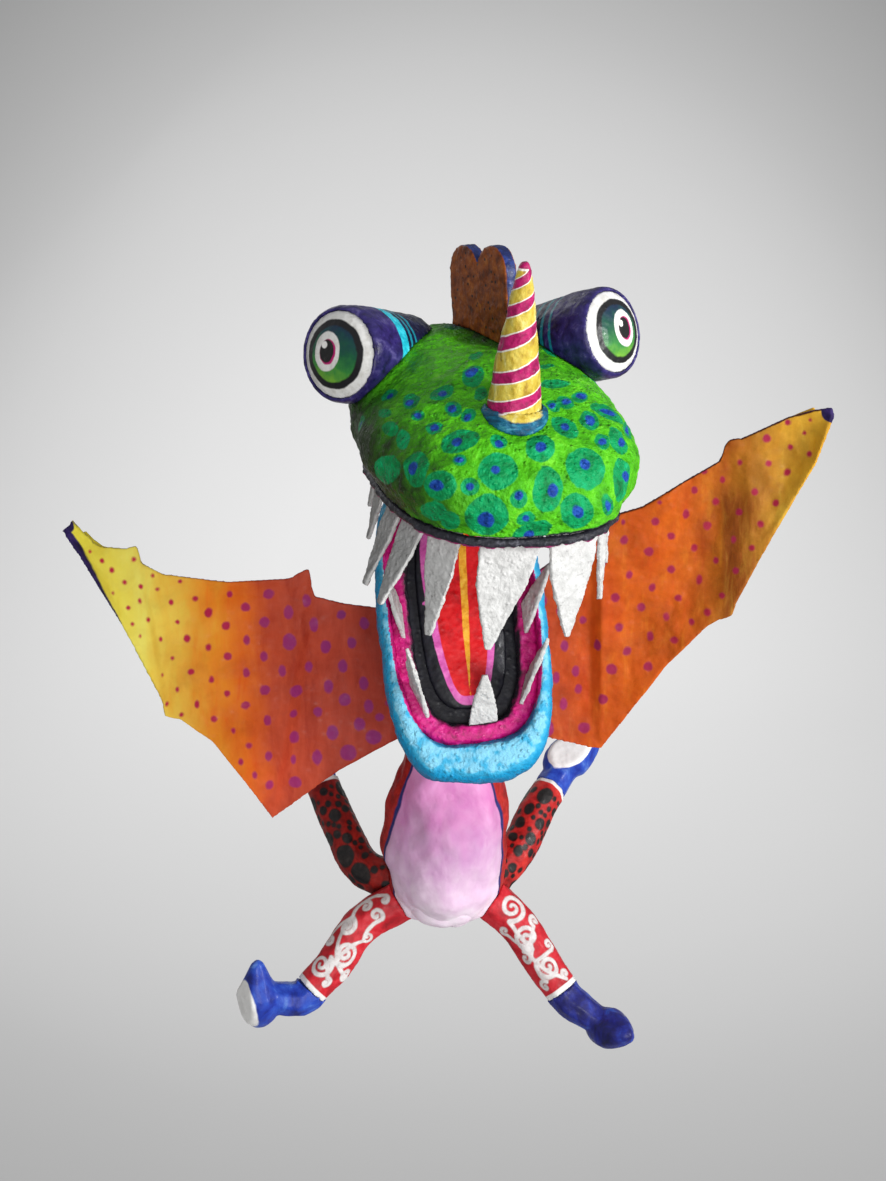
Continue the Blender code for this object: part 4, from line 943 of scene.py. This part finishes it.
def bootShape(away, limb):
    # the raised boot's toe is drawn up to a point behind the sole, the other one is slimmed
    boot = limbSet["boot"]
    shaped = away.copy()
    if "toe" in limb:
        pull, pinch = limb["toe"]
        t = np.clip((away[:, 2] - boot["toeFoot"]) / boot["toeTall"], 0, 1)
        shaped[:, 0] = boot["toeMiddle"] + (away[:, 0] - boot["toeMiddle"]) * (1 - pinch * t)
        shaped[:, 1] *= 1 - pinch * t
        shaped[:, 2] += pull * t ** 2
    if "slim" in limb:
        low = np.clip((boot["ankle"] - np.linalg.norm(away, axis=1)) / boot["ankleSoft"], 0, 1)
        shaped *= 1 - limb["slim"] * low[:, None]
    return shaped


def soleField(away, limb):
    boot = limbSet["boot"]
    down = away @ np.array(Vector(limb["sole"]).normalized())
    sole = np.maximum(limb["welt"] - down, np.linalg.norm(away, axis=1) - boot["reach"])
    if "toe" in limb:
        x, y = boot["across"]
        wide, tall = boot["oval"]
        oval = np.hypot((away[:, 0] * x + away[:, 1] * y) / wide, (away[:, 2] + boot["ovalDown"]) / tall)
        sole = np.maximum(sole, (oval - 1) * boot["ovalSoft"])
    return sole


def armPaint(name, shades):
    # red gloss with black dots dabbed on, the cuff left white
    material, tree, shader, spot = pulpPaint(name, grain=1.5, rise=0.4, gloss=0.5, coat=0.05)
    red = brushed(tree, spot, shades, 9)
    black = brushed(tree, spot, ("#0a0808", "#161212", "#2a2422"), 4)
    colour = paintOver(tree, red, "#3a0a08", fieldOf(tree, "dots", spot, 1.2, 4), 0.5, 0.5)
    colour = paintOver(tree, colour, black, fieldOf(tree, "dots", spot, 1.2, 4), 0.0, 0.35)
    colour = paintOver(tree, colour, "#e6e4e0", fieldOf(tree, "cuff", spot, 0.8, 6), 0.0, 0.3)
    tree.links.new(colour, shader.inputs["Base Color"])
    return material


def legPaint():
    # bright red with white scrolls laid on, each with a paler pink edge
    material, tree, shader, spot = pulpPaint("scrolled_leg_paint", grain=1.5, rise=0.4, gloss=0.48, coat=0.06)
    red = brushed(tree, spot, ("#94141e", "#c8222e", "#d83a44"), 9)
    white = brushed(tree, spot, ("#c4bcba", "#dcd6d4", "#eae8e6"), 4)
    scrolls = fieldOf(tree, "scrolls", spot, 0.7, 3)
    colour = paintOver(tree, red, "#b89a98", scrolls, 0.35, 0.35)
    colour = paintOver(tree, colour, white, scrolls, 0.0, 0.3)
    colour = paintOver(tree, colour, "#ebe9e6", fieldOf(tree, "cuff", spot, 0.8, 6), 0.0, 0.3)
    tree.links.new(colour, shader.inputs["Base Color"])
    return material


def bootPaint(name, shades):
    # cobalt gloss brushed lengthways, the sole left white
    material, tree, shader, spot = pulpPaint(name, grain=1.6, rise=0.3, gloss=0.42, coat=0.12)
    blue = brushed(tree, spot, shades, 10, (1, 1, 0.6))
    white = brushed(tree, spot, ("#ecebe8", "#f6f5f3", "#fcfcfa"), 7)
    sole = fieldOf(tree, "sole", spot, 0.5, 8)
    colour = paintOver(tree, blue, white, sole, 0.0, 0.25)
    tree.links.new(colour, shader.inputs["Base Color"])
    return material


scrolled = legPaint()
# painted shade: the left arm's red is a darker copy of the right arm's
spotted = {"arm_left": armPaint("dark_spotted_paint", ("#4e0907", "#86140f", "#a4241b")),
           "arm_right": armPaint("spotted_paint", ("#780f0f", "#b41e1e", "#cc342c"))}
cobalt = bootPaint("cobalt_boot_paint", ("#14206e", "#2038a0", "#2c50b8", "#5f86d0"))
indigo = bootPaint("indigo_boot_paint", ("#12133f", "#1b1d66", "#26308c", "#2f5bc4"))
dice = random.Random(9)
for name in ("arm_left", "arm_right", "leg_left", "leg_right"):
    limb = limbSet[name]
    piece = skinOf(name, limbSet["skin"])
    along, around, length = unroll(makersPlace(pointsOf(piece)), limb["path"])
    if "dots" in limb:
        setField(piece, "dots", dotField(along, around, moreDots(limb["dots"], length, dice)))
        dress(piece, spotted[name])
    else:
        setField(piece, "scrolls", strokeField(along, around, scrollStrokes(limb)))
        dress(piece, scrolled)
    setField(piece, "cuff", length - limbSet["cuff"] - along)
    kind, side = name.split("_")
    boot = skinOf(kind + "_boot_" + side, limbSet["bootSkin"])
    away = (pointsOf(boot) - np.array(place(*limb["foot"]))) * 1000
    press(boot, bootShape(away, limb) * mm + np.array(place(*limb["foot"])))
    setField(boot, "sole", soleField(away, limb))
    dress(boot, indigo if name == "leg_right" else cobalt)
print("body, arms, legs and boots painted")

wingSet = {
    "skin": {"voxel": 0.8, "ease": 16, "crisp": 1.0, "along": "Y",
             "lumps": (("knead", 40, 5.0), ("wave", 14, 1.6), ("grain", 4, 0.3))},
    "rodSkin": {"voxel": 0.5, "ease": 6, "lumps": (("wave", 8, 0.25), ("grain", 2.5, 0.15))},
    "strokes": (1.6, 1, 0.35),  # the brush is drawn down the wing
    "dab": (0.95, 1.3),  # a dab's least and most length for its width
    "left": {
        "tip": -222, "root": -24, "knob": (-219, 44, 5.5),  # across, up, reach of the plum dip
        # the tip is left blunt, where the paper was folded over the cane: where, how wide, spread out and in
        "blunt": {"at": (-219, 43), "reach": 17, "way": (0.8, 0.6), "out": 3.4, "in": -1.0},
        # the outer edge from the tip down, dipped in plum; half width, lower end, length it thins over
        "edge": ((-219, 42), (-206, 13), (-192, -18)), "dip": (3.2, -25, 60),
        # corner across and up, thumbed across and up, how wide
        "hooks": ((-84, 4, 0.8, 2.8, 8), (-181, 25, 0.6, 2.2, 6), (-169, -79, -1.4, -1.0, 7)),
        "shades": (
            (0.02, "#a83a2c"), (0.20, "#b84430"), (0.42, "#c84a2a"), (0.50, "#f26c18"), (0.60, "#ff9222"),
            (0.70, "#ffc444"), (0.80, "#fce85c"), (0.95, "#fcec48"),
        ),
        "drag": ("#8c8c8c", "#c0c0c0", "#d4d4d4", "#f2f2f2"), "stain": ("#d8ccc4", "#f4f0ec", "#ffffff"),
        "dotShades": ((0.2, "#963072"), (0.42, "#a42a66"), (0.56, "#c41e48"), (0.8, "#cc1c34")),
        # across, up, size
        "dots": (
            (-207, 27, 1.5), (-201, 21, 2.4), (-196, 15, 3.0), (-183, 21, 3.0), (-189, 7, 2.4),
            (-180, 4, 2.4), (-171, 1, 2.4), (-173, 10, 2.4), (-158, 5, 2.4), (-196, 1, 1.8),
            (-188, -9, 2.4), (-181, -5, 2.4), (-164, -8, 3.0), (-150, -7, 3.0), (-130, -6, 3.7),
            (-107, -7, 6.1), (-121, -15, 5.5), (-143, -17, 5.5), (-161, -21, 2.4), (-186, -19, 2.4),
            (-177, -17, 2.4), (-182, -27, 1.8), (-171, -31, 2.4), (-156, -32, 4.3), (-144, -39, 4.3),
            (-133, -26, 4.9), (-121, -36, 4.9), (-110, -25, 6.2), (-95, -19, 6.8), (-84, -12, 6.2),
            (-80, -28, 6.8), (-95, -38, 9.3), (-111, -47, 5.6), (-133, -46, 4.9), (-165, -44, 2.4),
            (-155, -54, 4.3), (-171, -53, 1.8), (-143, -60, 3.7), (-122, -57, 5.0), (-100, -57, 5.6),
            (-84, -56, 5.6), (-73, -43, 7.5), (-63, -22, 5.6), (-57, -41, 6.2), (-49, -28, 6.8),
            (-63, -57, 6.9), (-163, -64, 2.5), (-134, -70, 3.7), (-111, -69, 6.2), (-92, -71, 8.1),
            (-72, -70, 6.9), (-62, -79, 7.6), (-50, -68, 6.9), (-169, -72, 2.4), (-152, -75, 3.7),
            (-161, -80, 2.5), (-142, -85, 3.7), (-123, -78, 5.0), (-110, -89, 5.6), (-94, -86, 5.0),
            (-79, -86, 5.7), (-47, -83, 6.9), (-53, -95, 7.6), (-131, -94, 3.1), (-122, -105, 3.8),
            (-94, -102, 7.0), (-70, -100, 8.2), (-44, -103, 9.5), (-40, -90, 5.1), (-110, -113, 5.0),
            (-95, -117, 4.4), (-80, -116, 7.6), (-60, -113, 10.2), (-127, -115, 3.8), (-119, -125, 3.8),
            (-110, -132, 5.1), (-94, -132, 7.6), (-36, -40, 6), (-34, -62, 7), (-33, -80, 6),
        ),
    },
    "right": {
        "tip": 224, "root": 24, "knob": (224, 110, 7),
        # the leading edge as it was cut, outlined in brown
        "lead": ((38, -10), (72, 16), (91, 30), (97, 40), (120, 48), (148, 67), (166, 79), (170, 89),
                 (178, 93), (200, 105), (214, 110), (223, 112)),
        "outline": 1.0,
        # painted shade beyond the outer rib, down the fold: where the rib runs and leans, sharp start,
        # thinning, height it ends
        "fold": {"at": 171, "lean": 0.05, "start": (-5, 7), "thin": (0.55, 10), "top": 58},
        "hooks": ((168, 85, -2.6, 1.8, 9), (174, -16, 1.0, -1.2, 7)),
        "shades": (
            (0.02, "#d67a5c"), (0.18, "#d8663a"), (0.34, "#e06a22"), (0.44, "#e4721a"), (0.62, "#e2761c"),
            (0.72, "#cc7a20"), (0.82, "#d8a034"), (0.95, "#f0c444"),
        ),
        "drag": ("#4c4c4c", "#7c7c7c", "#949494", "#d0d0d0"), "stain": ("#8c7468", "#d4c8c0", "#ffffff"),
        "dotShades": ((0.2, "#a23068"), (0.38, "#9c2646"), (0.58, "#a42234"), (0.8, "#ac2030")),
        "dots": (
            (200, 102, 3.5), (212, 104, 2.3), (210, 96, 2.3), (189, 92, 4.7), (203, 87, 2.9),
            (213, 84, 3.5), (175, 77, 2.9), (191, 77, 3.5), (202, 72, 4.1), (155, 71, 3.6),
            (166, 66, 3.6), (150, 59, 4.2), (184, 60, 4.1), (196, 54, 3.5), (163, 52, 4.2),
            (130, 51, 2.4), (146, 44, 4.8), (128, 39, 4.8), (176, 47, 4.2), (188, 41, 4.1),
            (159, 37, 4.8), (109, 38, 2.4), (110, 27, 4.9), (138, 30, 4.8), (174, 30, 3.6),
            (184, 26, 3.6), (152, 23, 4.2), (125, 20, 5.5), (139, 9, 4.9), (114, 5, 4.3), (165, 16, 3.6),
            (176, 11, 3.6), (98, 13, 4.3), (156, 3, 4.3), (128, -3, 4.3), (106, -10, 5.5), (144, -9, 4.3),
            (169, -5, 3.6), (122, -16, 4.9), (137, -21, 4.3), (161, -16, 4.3), (109, -29, 4.9),
            (152, -23, 3.7), (128, -34, 4.9), (142, -35, 4.3), (114, -44, 5.0), (96, -41, 5.6),
            (127, -53, 5.6), (105, -56, 6.8), (76, -43, 5.6), (83, -59, 5.6), (73, -21, 5.6),
            (87, -26, 4.3), (85, -71, 5.0), (71, -64, 5.7), (100, -76, 6.3), (76, -81, 5.7),
            (89, -96, 6.9), (67, -97, 7.6), (61, 7, 6.2), (80, 8, 5), (62, -14, 6), (52, -30, 6),
            (56, -52, 6), (50, -80, 7), (84, 26, 5), (46, -8, 6),
        ),
    },
}


def wingPaint(side, settings):
    # watercolour pulled from yellow to brick over pasted paper, dotted while wet; plum behind
    material, tree, shader, spot = pulpPaint("wing_paint_" + side, grain=1.8, rise=0.3, gloss=0.5,
                                             coat=0.0, sheen=0.18)
    downwards = wingSet["strokes"]
    reach = fieldOf(tree, "reach", spot, 0.10, 26)
    ground = shadesBy(tree, reach, settings["shades"])
    ground = workedIn(tree, ground, brushed(tree, spot, settings["drag"], 16, downwards), 0.7)
    ground = workedIn(tree, ground, brushed(tree, spot, settings["stain"], 26), 0.55, "MULTIPLY")
    if "fold" in settings:  # painted shade: brown down the fold beside the outer rib
        shadeUmber = brushed(tree, spot, ("#7a3a10", "#9a5016", "#c08230"), 12, downwards)
        ground = paintOver(tree, ground, shadeUmber, fieldOf(tree, "fold", spot, 12, 14), 0.0, 7)
    cloud = brushed(tree, spot, ("#6a3a8c", "#90286c", "#a82450"), 30)
    dotShade = workedIn(tree, shadesBy(tree, reach, settings["dotShades"]), cloud, 0.18, "MIX")
    dots = fieldOf(tree, "dots", spot, 1.8, 4)
    colour = paintOver(tree, ground, dotShade, dots, 0.1, 0.65)
    plum = brushed(tree, spot, ("#1c1436", "#2a1d50", "#3c2a6c"), 7)
    border = fieldOf(tree, "border", spot, 1.4, 9)
    colour = paintOver(tree, colour, plum if "edge" in settings else "#4a2214", border, 0.0, 0.4)
    colour = paintOver(tree, colour, plum, fieldOf(tree, "knob", spot, 0.9, 9), 0.0, 0.3)
    behind = brushed(tree, spot, ("#2c1c4c", "#46306e", "#5c3f86", "#7a5aa4"), 18, downwards)
    colour = paintOver(tree, colour, behind, fieldOf(tree, "front"), 0.0, 0.15)
    tree.links.new(colour, shader.inputs["Base Color"])
    return material


def rodPaint(side, settings):
    # split bamboo papered in with the wing, so the same colours run over its fibres
    name = "papered_bamboo_" + side
    material, tree, shader, spot = pulpPaint(name, grain=1.0, rise=0.3, gloss=0.5, coat=0.05)
    ground = shadesBy(tree, fieldOf(tree, "reach", spot, 0.10, 26), settings["shades"])
    fibre = brushed(tree, spot, ("#3c3c3c", "#6c6c6c", "#a0a0a0"), 3, (0.3, 0.3, 1))
    colour = workedIn(tree, ground, fibre, 0.6)
    tree.links.new(colour, shader.inputs["Base Color"])
    return material


def thumbCorners(wing, settings):
    # corners are thumbed into small hooks, and a blunt tip is spread
    points = pointsOf(wing)
    own = makersPlace(points)
    for x, z, outX, outZ, reach in settings["hooks"]:
        share = np.sqrt(np.clip(1 - np.hypot(own[:, 0] - x, own[:, 2] - z) / reach, 0, 1))
        points = points + np.stack((outX * share, 0 * share, outZ * share), 1) * mm
    press(wing, points)
    if "blunt" in settings:
        blunt = settings["blunt"]
        own = makersPlace(points)
        across, up = own[:, 0] - blunt["at"][0], own[:, 2] - blunt["at"][1]
        near = np.clip(1 - np.hypot(across, up) / blunt["reach"], 0, 1)
        wayX, wayZ = blunt["way"]
        spread = np.where(across * wayX + up * wayZ > 0, blunt["out"], blunt["in"]) * np.sqrt(near)
        points = points + np.stack((wayX * spread, 0 * spread, wayZ * spread), 1) * mm
        press(wing, points)
    return points


def dabField(wing, points, dots):
    surface = surfaceOf(wing)
    field = np.full(len(points), 20.0)
    for across, up, size in dots:
        centre = surface.ray_cast(place(across, -300, up), Vector((0, 1, 0)))[0]  # from well in front
        long = dice.uniform(*wingSet["dab"])
        if centre is not None:
            gap = (points - np.array(centre)) * (long, 1, 1 / long)
            np.minimum(field, np.linalg.norm(gap, axis=1) * 1000 - size / 2, out=field)
    return field


def borderField(own, cut, settings):
    if "edge" in settings:
        edge = np.array(settings["edge"])[::-1]  # upwards
        half, foot, thin = settings["dip"]
        border = np.abs(own[:, 0] - np.interp(own[:, 2], edge[:, 1], edge[:, 0]))
        border = border - half * np.clip((own[:, 2] - foot) / thin, 0, 1)
        return np.where(own[:, 2] > foot, border, 9)
    lead = np.array(settings["lead"])
    return np.abs(cut[:, 2] - np.interp(cut[:, 0], lead[:, 0], lead[:, 1])) - settings["outline"]


def foldShadeField(own, fold):
    past = own[:, 0] - fold["at"] + fold["lean"] * own[:, 2]
    (steep, full), (slow, thick) = fold["start"], fold["thin"]
    return np.maximum.reduce((steep * past - full, slow * past - thick, own[:, 2] - fold["top"]))


for side in ("left", "right"):
    settings = wingSet[side]
    body = "wing_" + side
    wing = skinOf("wing_membrane_" + side, wingSet["skin"], body)
    cut = makersPlace(pointsOf(wing))  # the outline as it was cut
    points = thumbCorners(wing, settings)
    own = makersPlace(points)
    setField(wing, "dots", dabField(wing, points, settings["dots"]))
    setField(wing, "reach", (own[:, 0] - settings["root"]) / (settings["tip"] - settings["root"]))
    setField(wing, "front", -normalsOf(wing)[:, 1] - 0.2)
    setField(wing, "border", borderField(own, cut, settings))
    knobX, knobZ, knobReach = settings["knob"]
    setField(wing, "knob", np.hypot(own[:, 0] - knobX, own[:, 2] - knobZ) - knobReach)
    if "fold" in settings:
        setField(wing, "fold", foldShadeField(own, settings["fold"]))
    dress(wing, wingPaint(side, settings))
    papered = rodPaint(side, settings)
    for rod in ("wing_spar_", "wing_rib_inner_", "wing_rib_outer_"):
        piece = skinOf(rod + side, wingSet["rodSkin"], body)
        own = makersPlace(pointsOf(piece))
        setField(piece, "reach", (own[:, 0] - settings["root"]) / (settings["tip"] - settings["root"]))
        dress(piece, papered)
    print("wing", side, "painted:", len(wing.data.polygons), "faces")


def paperWad():
    # crumpled newspaper: grey sheets creased into facets, with rows of smudged ink
    material, tree, shader, spot = pulpPaint("crumpled_newsprint", grain=2.5, rise=0.9, gloss=0.85,
                                             coat=0.0, deep=1.2)
    sheet = add(tree, "TexVoronoi", {"Vector": spot, "Scale": 1 / (16 * mm)})
    grey = brushed(tree, spot, ("#a39c8e", "#bdb7a8", "#cbc6b8"), 12)
    rows = add(tree, "TexWave", {"Vector": spot, "Scale": 1 / (20 * mm), "Distortion": 4.0, "Detail": 3.0})
    ink = paintOver(tree, grey, "#77726a", rows.outputs["Fac"], 0.3, 0.2)
    colour = paintOver(tree, ink, "#8e887c", sheet.outputs["Distance"], 0.15, 0.1)
    tree.links.new(colour, shader.inputs["Base Color"])
    return material


def tubeCard():
    # rolled brown board: fibres along it and a fuzzy face
    material, tree, shader, spot = pulpPaint("rolled_board", grain=1.2, rise=0.5, gloss=0.85, coat=0.0)
    colour = brushed(tree, spot, ("#6e5030", "#8f6c44", "#a98658"), 4)
    tree.links.new(colour, shader.inputs["Base Color"])
    return material


def wireSteel():
    # drawn annealed wire: grey, dull, with faint rust along it
    material, tree, shader, spot = pulpPaint("annealed_wire", grain=0.8, rise=0.15, gloss=0.38, coat=0.0)
    shader.inputs["Metallic"].default_value = 1.0
    shader.inputs["IOR"].default_value = 1.5
    colour = brushed(tree, spot, ("#5c4a3e", "#87878a", "#a4a4a8"), 5)
    tree.links.new(colour, shader.inputs["Base Color"])
    return material


def roofPaint():
    # the roof of the mouth, wine red and dull
    material, tree, shader, spot = pulpPaint("palate_paint", grain=1.4, rise=0.6, gloss=0.5, coat=0.05)
    colour = brushed(tree, spot, ("#2a0614", "#4a0c26", "#661438"), 8)
    tree.links.new(colour, shader.inputs["Base Color"])
    return material


holdSet = {
    "socketSkin": {"voxel": 0.6, "ease": 4, "lumps": (("wave", 5, 0.3), ("grain", 2, 0.2))},
    "loopSkin": {"voxel": 0.34, "ease": 8, "lumps": (("wave", 5, 0.1), ("grain", 2, 0.05))},
}
wad, board, wire = paperWad(), tubeCard(), wireSteel()
for side in ("left", "right"):
    dress(skinOf("wing_socket_" + side, holdSet["socketSkin"]), board)
dress(skinOf("hanging_loop", holdSet["loopSkin"]), wire)
kept = {"head_core": wad, "torso_core": wad, "palate": roofPaint()}
for name, thing in nodes.items():
    if name.endswith("_wire") or "_wire_" in name:
        kept[name] = wire
for name, material in kept.items():
    nodes[name].material_slots[0].material = material
print("cores, wires, sockets and loop dressed")

studioSet = {
    "floor": -487, "sweepFrom": 1100, "sweep": 800, "half": 3500,
    "key": {"way": (0.85, -0.50, 0.26), "far": 1.7, "size": 0.45, "watts": 25},
    "front": {"way": (0.12, -0.97, 0.05), "far": 2.0, "size": 1.0, "watts": 21},
    "back": {"way": (-0.5, 0.75, 0.5), "far": 1.8, "size": 1.2, "watts": 6},
    "ambient": 0.17,
    # the pool of light on the paper behind the figure
    "pool": {"at": (0, 1500, -400), "reach": (900, 1200, 900), "last": 1.6,
             "tones": ((0.0, "#fafafa"), (0.30, "#f8f8f8"), (0.55, "#efefef"), (0.79, "#e3e3e3"),
                       (0.90, "#dcdcdc"), (1.0, "#d3d3d3"), (1.1, "#c7c7c7"), (1.21, "#bbbbbb"),
                       (1.4, "#a8a8a8"), (1.6, "#a0a0a0"))},
    "ownLight": 0.72,  # share of the paper's tone that it shows without the lamps
    "wall": 2500, "bendSteps": 24, "aim": (0, 0, -20),
}


def shownRays(tree):
    # rays that end in the picture: seen straight, in a shine or through glass
    path = add(tree, "LightPath").outputs
    shown = path["Is Camera Ray"]
    for kind in ("Is Glossy Ray", "Is Transmission Ray"):
        shown = add(tree, "Math", {0: shown, 1: path[kind]}, operation="MAXIMUM").outputs[0]
    return shown


def backdropPaint():
    # matt paper sweep, lightest behind the figure
    material = bpy.data.materials.new("paper_sweep")
    material.use_nodes = True
    tree = material.node_tree
    shader = tree.nodes["Principled BSDF"]
    shader.inputs["Roughness"].default_value = 0.95
    shader.inputs["Specular IOR Level"].default_value = 0.1
    spot = add(tree, "TexCoord").outputs["Object"]
    pool = studioSet["pool"]
    shrink = [1 / (size * mm) for size in pool["reach"]]
    shift = [-co * scale for co, scale in zip(place(*pool["at"]), shrink)]
    away = add(tree, "Mapping", {"Vector": spot, "Location": shift, "Scale": shrink})
    away = add(tree, "VectorMath", {0: away.outputs[0]}, operation="LENGTH")
    fade = add(tree, "MapRange", {"Value": away.outputs["Value"], "From Max": pool["last"]})
    stops = [(far / pool["last"], code) for far, code in pool["tones"]]
    tone = shadesBy(tree, fade.outputs[0], stops)
    tree.links.new(tone, shader.inputs["Base Color"])
    light = add(tree, "Emission", {"Color": tone, "Strength": 1.0})
    share = add(tree, "Math", {0: shownRays(tree), 1: studioSet["ownLight"]}, operation="MULTIPLY")
    both = add(tree, "MixShader", {0: share.outputs[0], 1: shader.outputs[0], 2: light.outputs[0]})
    tree.links.new(both.outputs[0], tree.nodes["Material Output"].inputs["Surface"])
    return material


bm = bmesh.new()
half = studioSet["half"]
ends = [bm.verts.new(place(x, -half, studioSet["floor"])) for x in (-half, half)]
edge = bm.edges.new(ends)
flat = bmesh.ops.extrude_edge_only(bm, edges=[edge])["geom"]
moved = [v for v in flat if isinstance(v, bmesh.types.BMVert)]
bmesh.ops.translate(bm, verts=moved, vec=(0, (studioSet["sweepFrom"] + half) * mm, 0))
last = [e for e in flat if isinstance(e, bmesh.types.BMEdge)]
pivot = place(0, studioSet["sweepFrom"], studioSet["floor"] + studioSet["sweep"])
bent = bmesh.ops.spin(bm, geom=last, cent=pivot, axis=(1, 0, 0), angle=math.radians(90),
                      steps=studioSet["bendSteps"], use_merge=False)["geom_last"]
rise = bmesh.ops.extrude_edge_only(bm, edges=[e for e in bent if isinstance(e, bmesh.types.BMEdge)])["geom"]
moved = [v for v in rise if isinstance(v, bmesh.types.BMVert)]
bmesh.ops.translate(bm, verts=moved, vec=(0, 0, studioSet["wall"] * mm))
bmesh.ops.recalc_face_normals(bm, faces=bm.faces)
for face in bm.faces:
    face.smooth = True
sweep = newPiece("paper_sweep", bm)
dress(sweep, backdropPaint())

aim = place(*studioSet["aim"])
for name in ("key", "front", "back"):
    settings = studioSet[name]
    lamp = bpy.data.objects.new(name, bpy.data.lights.new(name, "AREA"))
    lamp.data.size = settings["size"]
    lamp.data.energy = settings["watts"]
    way = Vector(settings["way"]).normalized()
    lamp.location = aim + way * settings["far"]
    lamp.rotation_euler = way.to_track_quat("Z", "Y").to_euler()
    scene.collection.objects.link(lamp)

world = bpy.data.worlds.new("studio")
scene.world = world
world.use_nodes = True
air = world.node_tree
pale = add(air, "Background", {"Color": "#d8d8d8", "Strength": 1.0})
soft = air.nodes["Background"]
soft.inputs["Color"].default_value = linear("#ffffff")
soft.inputs["Strength"].default_value = studioSet["ambient"]
mixed = add(air, "MixShader", {0: shownRays(air), 1: soft.outputs[0], 2: pale.outputs[0]})
air.links.new(mixed.outputs[0], air.nodes["World Output"].inputs["Surface"])
print("studio lit")

shown = [thing for thing in scene.objects if thing.type == "MESH" and not thing.hide_render]
print("triangles in all:", sum(len(face.vertices) - 2 for thing in shown for face in thing.data.polygons))
